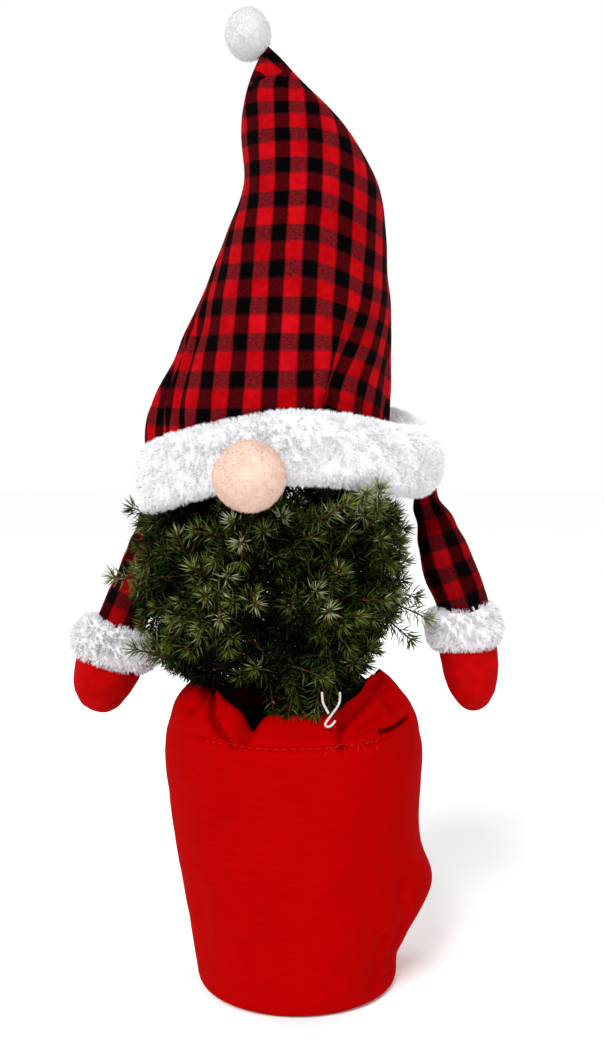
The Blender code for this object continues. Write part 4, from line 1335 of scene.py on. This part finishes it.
def crease(points, path, width, depth):
    """A groove along a path seen from the front, as X and Z, on the side that faces -Y."""
    path = np.asarray(path, float)
    place = points[..., (0, 2)]
    best = np.full(place.shape[:-1], 1e9)
    for a, b in zip(path, path[1:]):
        way = b - a
        share = np.clip(((place - a) @ way) / (way @ way), 0, 1)
        gap = np.linalg.norm(place - (a + share[..., None] * way), axis=-1)
        best = np.minimum(best, gap)
    on_side = smooth_step(-points[..., 1], 0.0, 0.02)
    return -depth * np.exp(-((best / width) ** 2)) * on_side


def beyond_fold(points):
    """How far a point of the front is to the right of the fold's line, and how open the fold is."""
    x, z = points[..., 0], points[..., 2]
    share = (z - FOLD_FOOT[1]) / (FOLD_HEAD[1] - FOLD_FOOT[1])
    line = FOLD_FOOT[0] + (FOLD_HEAD[0] - FOLD_FOOT[0]) * share
    front = smooth_step(-points[..., 1], 0.0, 0.02)
    return (x - line) * front, smooth_step(1 - share, 0.0, 0.9) * front


def hat_rows(z):
    """Height along the cloth of a point at height z."""
    heights = np.linspace(0.36, 0.66, 200)
    step = heights[1] - heights[0]
    rise = np.cumsum(1 + HAT_ROWS_CLOSER * smooth_step(heights, 0.520, 0.650)) * step
    return np.interp(z, heights, rise * HAT_ROW_SHARE + HAT_ROW_SHIFT)


def narrowed(u, z):
    """Place across the cloth, with the columns wider towards the tip."""
    return u / (1 + HAT_COLUMNS_WIDER * smooth_step(z, 0.42, 0.60))


def hat_front_cloth(points, centre_x, radius):
    """Place of each point on the flat front panel, with its fold and its pleats."""
    x, y, z = points[..., 0], points[..., 1], points[..., 2]
    bearing = np.arctan2(y, x - centre_x)
    plumb = PLUMB_X + PLUMB_LEAN * (z - PLUMB_FOOT)
    start = -np.arccos(np.clip((plumb - centre_x) / radius, -1, 1))
    beyond, open_share = beyond_fold(points)
    drop = smooth_step(x, 0.006, 0.066) * (1 - smooth_step(z, 0.575, 0.620)) * (1 - open_share)
    v = hat_rows(z) + HAT_ROW_DROP * drop
    u = narrowed(radius * bearing_from(bearing, start), z)
    u = u + pleated_cloth(np.degrees(bearing_from(bearing, math.pi)), z, radius)
    angle = FOLD_TURN * open_share * smooth_step(beyond, -0.0005, 0.0005)
    pivot_u = radius * bearing_from(np.arctan2(-0.06, FOLD_HEAD[0] - centre_x), start)
    du, dv = u - pivot_u, v - hat_rows(FOLD_HEAD[1])
    u = pivot_u + du * np.cos(angle) - dv * np.sin(angle)
    v = hat_rows(FOLD_HEAD[1]) + du * np.sin(angle) + dv * np.cos(angle)
    return np.stack((u, v), -1)


def hat_back_cloth(points, centre_x, radius):
    """Place of each point on the flat back panel, square to the middle of the back."""
    bearing = np.arctan2(points[..., 1], points[..., 0] - centre_x)
    u = narrowed(-radius * bearing_from(bearing, math.pi / 2), points[..., 2])
    return np.stack((u, hat_rows(points[..., 2])), -1)


def hat_pleats(angle, z):
    """Pleats on the left, fanned out at the brim; angle is from the left edge towards the front."""
    rise = np.clip((z - PLEATS_FOOT) / PLEATS_RISE, 0, 1)
    fade = (1 - smooth_step(rise, 0.55, 1.0))
    push = np.zeros(np.broadcast(angle, z).shape)
    for place in HAT_PLEATS:
        middle = place * (1 - 0.55 * rise)
        push += PLEAT_RIDGE[0] * bell(angle, middle, PLEAT_RIDGE[1])
        push -= PLEAT_GROOVE[0] * bell(angle, middle + PLEAT_GROOVE_AWAY, PLEAT_GROOVE[1])
    return push * fade


def pleated_cloth(angle, z, radius):
    """Cloth taken up by the pleats, so that the bands look narrower there."""
    rise = np.clip((z - PLEATS_FOOT) / PLEATS_RISE, 0, 1.6)
    beyond = np.clip(52 * (1 - 0.45 * np.minimum(rise, 1)) - angle, 0, 60)
    return -np.radians(beyond) * radius * 0.85 * (1 - smooth_step(rise, 0.45, 1.5))


def make_hat(look):
    """The cloth cone, with its seat on the brim, fold, pleats, gathers and seams."""
    rows, columns = 190, 280
    shares = np.linspace(0, 1, rows)
    left_x, left_z, right_x, right_z = catmull_rom(HAT_STATIONS, shares).T
    middle = np.stack(((left_x + right_x) / 2, np.zeros(rows), (left_z + right_z) / 2), -1)
    half = np.stack(((right_x - left_x) / 2, np.zeros(rows), (right_z - left_z) / 2), -1)
    radius = np.linalg.norm(half, axis=1)
    depth = radius * (1 + (HAT_TIP_DEPTH_SHARE - 1) * shares)
    bearing = around(columns) + math.pi / 2
    points = middle[:, None] + half[:, None] * np.cos(bearing)[:, None]
    points[..., 1] = depth[:, None] * np.sin(bearing)
    base = points[0, :, 2].copy()
    lifts = hat_seat(points[0], node_tree_of("hat_brim")) + HAT_GAP - base
    fade = np.maximum(0, 1 - (points[..., 2] - base) / HAT_SEAT_FADE)
    points[..., 2] += lifts * fade
    centre_x = np.broadcast_to(middle[:, 0][:, None], points.shape[:2])
    ring_radius = np.broadcast_to(radius[:, None], points.shape[:2])
    front_cloth = hat_front_cloth(points, centre_x, ring_radius).reshape(-1, 2)
    back_cloth = hat_back_cloth(points, centre_x, ring_radius).reshape(-1, 2)

    beyond, open_share = beyond_fold(points)
    out = grid_normals(points)
    push = bell(beyond, -0.006, 0.007) * FOLD_RIDGE - bell(beyond, 0.005, 0.008) * FOLD_HOLLOW
    push = push * open_share
    push -= smooth_step(beyond, 0.0, 0.03) * BEYOND_FOLD * open_share
    push += lumps(points, HAT_LUMPS)
    z = points[..., 2]
    push += hat_pleats(np.degrees(bearing_from(bearing, math.pi)), z)
    foot = smooth_step(z - base, 0.035, 0.0)
    gathers = np.sin(bearing * GATHERS_AT_FOOT + 3 * noise(points, 0.04, 8))
    push += foot * FOOT_GATHER_DEPTH * gathers
    neck = smooth_step(z, *HAT_NECK)
    push += neck * NECK_GATHER_DEPTH * np.sin(bearing * GATHERS_AT_NECK + 1.5)
    from_back = np.abs(bearing_from(bearing, math.pi / 2))
    push -= HAT_SEAM_DEPTH * bell(from_back, math.pi / 2 - HAT_SEAM_BACK, 0.035)
    inside = smooth_step(ring_radius, 0.002, 0.02)
    points = pushed(points, out, push * inside)
    points = pushed(points, out, crease(points, HAT_TUCK, HAT_TUCK_WIDTH, -HAT_TUCK_HEIGHT))

    faces = faces_out(points, grid(rows, columns)[0])
    middles = bearing[faces.max(1) % columns]
    on_back = np.abs(bearing_from(middles, math.pi / 2)) < math.pi / 2 - HAT_SEAM_BACK
    uv = np.where(on_back[:, None, None], back_cloth[faces], front_cloth[faces])
    hat = add_mesh("hat_cloth", points, faces, [look], uv=uv)
    thicken(hat, HAT_WALL)
    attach(hat, "root")
    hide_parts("hat")


# Nose and pompom

def ball_points(centre, radii, rows, columns):
    """A closed ball as a grid whose first and last rows are at its poles."""
    rise = np.linspace(-math.pi / 2, math.pi / 2, rows)[:, None]
    bearing = around(columns)[None]
    unit_ball = np.stack((
        np.cos(rise) * np.cos(bearing),
        np.cos(rise) * np.sin(bearing),
        np.sin(rise) * np.ones_like(bearing),
    ), -1)
    return unit_ball * radii + centre, unit_ball


def make_nose(look):
    points, out = ball_points(NOSE_CENTRE, NOSE_RADII, 70, 110)
    points = pushed(points, out, lumps(points, NOSE_LUMPS))
    back = float(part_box("hat_brim")[0].y) - NOSE_GAP
    points[..., 1] = np.minimum(points[..., 1], back + NOSE_IN_FUR)
    nose, faces = add_padded("felt_nose", points, look)
    nap = add_pile("nose_nap", points, faces, look, NOSE_NAP, SEED + 4, 8)
    for piece in (nose, nap):
        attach(piece, "root")
    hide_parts("nose")


def make_pompom(look):
    low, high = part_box("pompom")
    centre = np.array((low + high) / 2)
    radii = POMPOM_RADIUS * POMPOM_CORE_SHARE * np.array(POMPOM_STRETCH)
    points, out = ball_points(centre, radii, 40, 60)
    points = pushed(points, out, lumps(points, POMPOM_LUMPS))
    ball, faces = add_padded("pompom_core", points, look)
    pile = add_pile("pompom_pile", points, faces, look, POMPOM_PILE, SEED + 5, 9)
    for piece in (ball, pile):
        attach(piece, "root")
    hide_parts("pompom")


# Arms

def arm_frame(arm):
    """Across and front of an arm's turned pieces, and the way that they hang."""
    wrist, fingers = np.array(arm["sleeve"][-1]), np.array(arm["fingers"])
    down = unit(fingers - wrist)
    across = unit(np.cross(down, (0.0, 1.0, 0.0)))
    front = np.cross(across, down)
    return across, front, down


def turned_points(profile, top, arm_axes, columns):
    """Points of a turned piece, thinner front to back, from its profile of radius and drop."""
    across, front, down = arm_axes
    bearing = around(columns)
    ring = np.cos(bearing)[:, None] * across + LIMB_FLATNESS * np.sin(bearing)[:, None] * front
    radii, drops = np.asarray(profile).T
    return top + radii[:, None, None] * ring + drops[:, None, None] * down


def make_sleeve(side, arm, look):
    rows, columns = 90, 72
    inside = np.array(arm["sleeve"][-1]) + arm_frame(arm)[2] * SLEEVE_IN_CUFF
    route = catmull_rom(arm["sleeve"] + (tuple(inside),), np.linspace(0, 1, rows))
    radii = catmull_rom([(r,) for r in SLEEVE_RADII], np.linspace(0, 1, rows))[:, 0]
    ways = unit(np.gradient(route, axis=0))
    across = unit(np.cross(ways, (0.0, 1.0, 0.0)))
    front = np.cross(across, ways)
    bearing = around(columns)
    points = route[:, None] + radii[:, None, None] * (
        np.cos(bearing)[:, None] * across[:, None] + np.sin(bearing)[:, None] * front[:, None]
    )
    out = unit(points - route[:, None])
    share = np.linspace(0, 1, rows)[:, None]
    drag = np.sin(share * SLEEVE_FOLDS + 1.3 * np.cos(bearing) + 2 * noise(points, 0.02, 31))
    drag = SLEEVE_FOLD_HEIGHT * drag * bell(share, 0.10, 0.22) + lumps(points, SLEEVE_LUMPS)
    ends = smooth_step(share, 0, 0.03) * smooth_step(1 - share, 0, 0.03)
    points = pushed(points, out, drag * ends)
    seam = bell(bearing_from(bearing, math.pi / 2), 0, 0.10)
    points = pushed(points, out, -SLEEVE_SEAM_DEPTH * seam * ends)
    along = np.concatenate(((0,), np.cumsum(np.linalg.norm(np.diff(route, axis=0), axis=1))))
    turn = np.linspace(0, 2 * math.pi, columns + 1) + math.pi
    u = (turn - 3 * math.pi / 2) * SLEEVE_RADII[-1]
    faces, wide = faces_out(points, *grid(rows, columns))
    uv = cloth_places(u, along, wide)
    sleeve = add_mesh(f"sleeve_cloth_{side}", points, faces, [look], uv=uv)
    thicken(sleeve, CLOTH_WALL)
    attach(sleeve, "root")
    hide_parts(f"sleeve_{side}")


def make_cuff(side, arm, look):
    axes = arm_frame(arm)
    top = np.array(arm["sleeve"][-1]) + axes[2] * CUFF_SINK
    columns, sections = 90, 40
    angles = -around(sections)
    across, up = superellipse(angles, CUFF_SQUARENESS)
    core = arm["cuff_radius"] - CUFF_THICKNESS
    inset = PILE_LENGTH * 0.75
    radii = core + across * (CUFF_THICKNESS - inset)
    drops = CUFF_HALF_HEIGHT - up * (CUFF_HALF_HEIGHT - inset * 0.7)
    profile = list(zip(radii, drops))
    points = turned_points(profile, top, axes, columns)
    points = np.concatenate((points, points[:1]))
    out = grid_normals(points)
    points = pushed(points, out, lumps(points, CUFF_LUMPS))
    points[-1] = points[0]
    skin, faces = add_padded(f"cuff_skin_{side}", points, look)
    middle = top + axes[2] * CUFF_HALF_HEIGHT

    def keep(places, normals):
        """Less pile on the inner side."""
        away = places - middle
        away = away - (away @ axes[2])[:, None] * axes[2]
        inner = (away * normals).sum(1) < -0.2 * np.linalg.norm(away, axis=1)
        return np.where(inner, CUFF_INNER_PILE, 1.0)

    name = f"cuff_pile_{side}"
    pile = add_pile(name, points, faces, look, CUFF_PILE, SEED + len(side), 13, keep)
    for piece in (skin, pile):
        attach(piece, "root")
    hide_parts(f"cuff_{side}")


def make_mitten(side, arm, look):
    axes = arm_frame(arm)
    cuff_top = np.array(arm["sleeve"][-1]) + axes[2] * CUFF_SINK
    top = cuff_top + axes[2] * 2 * CUFF_HALF_HEIGHT
    length = np.linalg.norm(np.array(arm["fingers"]) - top)
    rows, columns = 60, 72
    angle = np.linspace(0, math.pi / 2, rows)
    radii = arm["mitten_radius"] * np.cos(angle) ** arm["mitten_point"]
    radii[-1] = 0.0
    drops = length * np.sin(angle)
    lead = [(arm["mitten_radius"] * share, drop) for share, drop in MITTEN_LEAD]
    profile = lead + list(zip(radii, drops))
    points = turned_points(profile, top, axes, columns)
    out = grid_normals(points)
    points = pushed(points, out, lumps(points, MITTEN_LUMPS))
    bearing = around(columns)
    seam = bell(bearing_from(bearing, 0), 0, 0.06) + bell(bearing_from(bearing, math.pi), 0, 0.06)
    fade = smooth_step(np.array(profile)[:, 0], 0.0, 0.006)[:, None]
    points = pushed(points, out, -MITTEN_SEAM_DEPTH * seam * fade)
    mitten, _ = add_padded(f"felt_mitten_{side}", points, look)
    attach(mitten, "root")
    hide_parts(f"mitten_{side}")


# Pot cover

def spaced(low, at, high, low_count, high_count, with_end):
    """Even steps from low to a place, then finer or coarser ones from there to high."""
    return np.concatenate((
        np.linspace(low, at, low_count, endpoint=False),
        np.linspace(at, high, high_count, endpoint=with_end),
    ))


def cover_points(shares, bearing):
    """The cover's outer side, from its floor up over the pot's rim to its hem."""
    b = np.degrees(bearing_from(bearing, 0.0))

    def near(middle, width):
        return np.exp(-((((b - middle + 180) % 360 - 180) / width) ** 2))

    sides = [(COVER_LEFT, near(-168, 44)), (COVER_RIGHT, near(-12, 40)), (COVER_BACK, near(90, 60))]
    taken = sum(share for _, share in sides)
    rest = np.maximum(0, 1 - taken)
    r = np.zeros((len(shares), len(bearing)))
    z = np.zeros_like(r)
    for upper, share in sides + [(COVER_FRONT, rest)]:
        radius, height = catmull_rom(COVER_LOWER + upper, shares).T
        r += radius[:, None] * share / (rest + taken)
        z += height[:, None] * share / (rest + taken)
    top = smooth_step(z, 0.176, COVER_TOP)
    hem = smooth_step(shares, 0.88, 1.0)[:, None]
    wide, narrow = HEM_GATHERS
    gathers = np.cos(wide * bearing + 0.6) + 0.4 * np.cos(narrow * bearing + 2.0)
    r += HEM_GATHER_DEPTH * top * gathers
    for push, height, spread, place, width in COVER_BAGS:
        r += push * bell(z, height, spread) * near(place, width)
    depth, place, width = HEM_NOTCH
    z -= depth * smooth_step(shares, 0.70, 0.86)[:, None] * near(place, width)
    for push, rise, place, width in HEM_MOVES:
        r += push * hem * near(place, width)
        z += rise * hem * near(place, width)
    x = r * np.cos(bearing)
    y = r * np.sin(bearing)
    up = np.clip(z / COVER_TOP, 0, 1)
    x += COVER_SHIFT_AT_FLOOR + (COVER_SHIFT_AT_TOP - COVER_SHIFT_AT_FLOOR) * up
    return np.stack((x, y, z), -1)


def hem_stitches(points, out, bearing, look):
    """Running stitches along the front of the hem, sunk in its seam, and loose ones on the right."""
    front = np.flatnonzero(np.abs(np.degrees(bearing_from(bearing, -math.pi / 2))) < STITCH_SPAN)
    parts = []
    for first in front[:-4:STITCH_EVERY]:
        columns = np.arange(first, first + 4)
        rows = np.argmax(points[:, columns, 2] > HEM_SEAM - 0.0008, axis=0)
        rise = np.array((-0.0003, 0.0004, 0.0004, -0.0003))[:, None]
        path = points[rows, columns] + out[rows, columns] * rise
        parts.append(tube_mesh(path, np.full(4, STITCH_RADIUS), 5))
    seam_x = points[rows[0], front, 0]
    overcast = front[(seam_x > LOOSE_STITCHES[0]) & (seam_x < LOOSE_STITCHES[1])]
    for k, first in enumerate(overcast[:-4:4]):
        columns = np.arange(first, first + 4)
        drop = LOOSE_DROP * (0.6 + 0.4 * math.cos(1.9 * k))
        heights = HEM_SEAM + 0.0010 - drop * np.linspace(0, 1, 4)[:: 1 if k % 2 else -1]
        rows = np.argmax(points[:, columns, 2] > heights, axis=0)
        path = points[rows, columns] + out[rows, columns] * 0.0003
        path[:, 2] = heights
        parts.append(tube_mesh(path, np.full(4, STITCH_RADIUS * 0.8), 5))
    return add_mesh("hem_stitches", *gather(parts), [look])


def make_cover(look, thread_look):
    """The pot's cloth with its creases and hem, its floor and its stitches."""
    shares = spaced(0.0, 0.56, 1.0, 66, 96, True)
    bearing = np.radians(spaced(-190, -10, 170, 290, 140, False))
    columns = len(bearing)
    points = cover_points(shares, bearing)
    out = grid_normals(points)
    push = sum(crease(points, *spec) for spec in COVER_CREASES)
    z = points[..., 2]
    push += 0.0010 * noise(points, 0.045, 61) + 0.0004 * noise(points * (1, 1, 1.8), 0.018, 62)
    outside = shares[:, None] < 0.80
    seam_span = smooth_step(-points[..., 1], 0.045, 0.065) * outside
    push -= HEM_GROOVE * bell(z, HEM_SEAM, 0.0013) * seam_span
    push += HEM_ROLL * bell(z, HEM_SEAM + 0.0042, 0.0022) * seam_span
    floor = smooth_step(z, 0.001, 0.012)
    points = pushed(points, out, push * floor)
    points[..., 2] = np.maximum(points[..., 2], COVER_LOWEST)
    steps = np.linalg.norm(np.diff(points, axis=0), axis=-1).mean(1)
    along = np.concatenate(((0,), np.cumsum(steps)))
    turn = np.concatenate((bearing, bearing[:1] + 2 * math.pi))
    faces, wide = faces_out(points, *grid(len(shares), columns))
    uv = cloth_places(turn * COVER_CLOTH_RADIUS, along, wide)
    cover = add_mesh("cover_cloth", points, faces, [look], uv=uv)
    stitches = hem_stitches(points, out, bearing, thread_look)
    thicken(cover, CLOTH_WALL)
    floor_ring = points[0]
    middle = floor_ring.mean(0)
    rings = np.stack([middle + (floor_ring - middle) * s for s in np.linspace(1.0, 0.02, 14)])
    rings[..., 2] = COVER_FLOOR_HEIGHT + 0.0002 * noise(rings, 0.02, 3)
    floor_faces, floor_wide = grid(len(rings), columns)
    floor_uv = np.concatenate((rings, rings[:, :1]), 1)[..., :2].reshape(-1, 2)[floor_wide.ravel()]
    floor_piece = add_mesh("cover_floor", rings, floor_faces, [look], uv=floor_uv)
    thicken(floor_piece, -COVER_FLOOR_WALL)
    for piece in (cover, floor_piece, stitches):
        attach(piece, "root")
    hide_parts("pot_cover")


# Potting mix crumbs and the wire tie

def make_crumbs(look):
    """Loose crumbs of bark on top of the potting mix."""
    rng = np.random.default_rng(SEED + 6)
    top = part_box("potting_mix")[1].z
    count = CRUMBS
    r = CRUMBS_REACH * np.sqrt(rng.uniform(0.02, 1, count))
    a = rng.uniform(0, 2 * math.pi, count)
    centres = np.stack((r * np.cos(a), r * np.sin(a), np.full(count, top)), -1)
    sizes = rng.uniform(*CRUMB_SIZES, (count, 1, 1)) * rng.uniform(0.5, 1.0, (count, 1, 3))
    corners = np.array(((1, 0, 0), (0, 1, 0), (-1, 0, 0), (0, -1, 0), (0, 0, 1), (0, 0, -1)), float)
    turn = rng.uniform(0, 2 * math.pi, count)
    c, s = np.cos(turn), np.sin(turn)
    spin = np.zeros((count, 3, 3))
    spin[:, 0, 0], spin[:, 0, 1], spin[:, 1, 0], spin[:, 1, 1], spin[:, 2, 2] = c, -s, s, c, 1
    shapes = (corners * sizes * rng.uniform(0.6, 1.2, (count, 6, 1))) @ spin
    points = centres[:, None] + shapes
    pattern = ((0, 1, 4), (1, 2, 4), (2, 3, 4), (3, 0, 4), (1, 0, 5), (2, 1, 5), (3, 2, 5), (0, 3, 5))
    crumbs = add_mesh("potting_crumbs", points, copied(pattern, count, 6), [look])
    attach(crumbs, "root")


def make_tie(look):
    """The ends of a white coated wire tie, at the front of the crown's foot."""
    parts = []
    for route in TIE_ROUTES:
        path = catmull_rom(route, np.linspace(0, 1, 40))
        parts.append(tube_mesh(path, np.full(40, TIE_RADIUS), 10))
    points, faces = gather(parts)
    tie = add_mesh("wire_tie", points, faces, [look])
    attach(tie, "root")


# Stage

def light(kind, name, place, target, power, **settings):
    """A light at a place, turned towards its target."""
    data = bpy.data.lights.new(name, kind)
    data.energy = power
    for key, value in settings.items():
        setattr(data, key, value)
    obj = bpy.data.objects.new(name, data)
    obj.location = place
    bpy.context.scene.collection.objects.link(obj)
    way = Vector(target) - obj.location
    obj.rotation_euler = way.to_track_quat("-Z", "Y").to_euler()


def pale_world():
    """White behind the object, and a dimmer soft light from all round."""
    world = bpy.data.worlds.new("studio")
    world.use_nodes = True
    tree = world.node_tree
    seen = tree.nodes["Background"]
    seen.inputs["Color"].default_value = (1.0, 1.0, 1.0, 1.0)
    seen.inputs["Strength"].default_value = 1.0
    sky = tree.nodes.new("ShaderNodeBackground")
    sky.inputs["Color"].default_value = (1.0, 1.0, 1.0, 1.0)
    sky.inputs["Strength"].default_value = SKY_STRENGTH
    path = tree.nodes.new("ShaderNodeLightPath")
    mix = tree.nodes.new("ShaderNodeMixShader")
    tree.links.new(path.outputs["Is Camera Ray"], mix.inputs[0])
    tree.links.new(sky.outputs[0], mix.inputs[1])
    tree.links.new(seen.outputs[0], mix.inputs[2])
    tree.links.new(mix.outputs[0], tree.nodes["World Output"].inputs["Surface"])
    return world


def make_stage():
    scene = bpy.context.scene
    data = bpy.data.cameras.new("camera")
    data.lens = CAMERA_LENS
    camera = bpy.data.objects.new("camera", data)
    camera.location = CAMERA_PLACE
    camera.rotation_euler = (math.pi / 2 - CAMERA_PITCH, 0.0, 0.0)
    scene.collection.objects.link(camera)
    scene.camera = camera
    scene.view_settings.view_transform = "Standard"
    scene.world = pale_world()
    light("SUN", "key", KEY_PLACE, (0.0, 0.0, 0.0), KEY_STRENGTH, angle=KEY_ANGLE)
    for name, place, size, power in SOFT_LIGHTS:
        light("AREA", name, place, LIT_MIDDLE, power, shape="DISK", size=size)
    look = Look("pale_floor", 0.9)
    look.colour(look.mix(look.noise(0.3), (0.965, 0.965, 0.965), (0.985, 0.985, 0.985)))
    corners = [(x * FLOOR_HALF, y * FLOOR_HALF, 0.0) for x, y in ((-1, -1), (1, -1), (1, 1), (-1, 1))]
    floor = add_mesh("floor", corners, [(0, 1, 2, 3)], [look.material])


def dress_nodes(plastic, mix):
    """Finishes of the solids that stay."""
    for name, look in (("pot", plastic), ("potting_mix", mix)):
        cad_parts[name].data.materials.clear()
        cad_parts[name].data.materials.append(look)


def main():
    make_stage()
    plaid = check_cloth("check_cloth_hat", 1.0)
    # The sleeves take the same check darkened to 0.55, as painted shade
    sleeve_plaid_painted_shade = check_cloth("check_cloth_sleeves_painted_shade", 0.55)
    white = fur("white_pile", (0.890, 0.890, 0.904), (0.925, 0.925, 0.936))
    # The pompom's pile is the white pile darkened, as painted shade
    pompom_white_painted_shade = fur("pompom_pile_painted_shade", (0.575, 0.574, 0.588), (0.615, 0.614, 0.628))
    # The cuffs' pile is the white pile a little darker, as painted shade
    cuff_white_painted_shade = fur("cuff_pile_painted_shade", (0.790, 0.780, 0.795), (0.860, 0.850, 0.865))
    peach_tones = ((0.64, 0.455, 0.365), (0.73, 0.540, 0.445), (0.60, 0.41, 0.32))
    red_tones = ((0.300, 0.0, 0.0001), (0.390, 0.0002, 0.0003), (0.22, 0.0, 0.0))
    peach = felt("peach_felt_look", *peach_tones, 0.011, 0.15)
    red_felt = felt("red_felt_look", *red_tones, 0.010, 0.4)
    bark_look = bark()
    dull = {"Specular_IOR_Level": 0.05}
    twig_look = plain_look("twig_bark", (0.046, 0.025, 0.010), 0.9, 0.5, 0.004, **dull)
    bud_look = plain_look("bud_scales", (0.190, 0.075, 0.018), 0.7, 0.4, 0.003, Specular_IOR_Level=0.1)
    mix_look = plain_look("potting_mix_look", (0.045, 0.028, 0.018), 0.95, 0.6, 0.003)
    plastic = plain_look("black_plastic", (0.020, 0.020, 0.022), 0.5, 0.15, 0.004)
    tie_look = plain_look("white_coating", (0.50, 0.43, 0.42), 0.4, 0.15, 0.004)
    dress_nodes(plastic, mix_look)
    masses = plan_masses()
    make_trunk(masses, bark_look)
    make_foliage(masses, needle_looks(), twig_look, bud_look)
    make_hat(plaid)
    make_brim(white)
    make_nose(peach)
    make_pompom(pompom_white_painted_shade)
    for side, arm in ARMS.items():
        make_sleeve(side, arm, sleeve_plaid_painted_shade)
        make_cuff(side, arm, cuff_white_painted_shade)
        make_mitten(side, arm, red_felt)
    thread_look = plain_look("hem_thread", (0.50, 0.006, 0.006), 0.9, 0.15, 0.004, **dull)
    make_cover(red_cloth(), thread_look)
    make_crumbs(mix_look)
    make_tie(tie_look)


main()
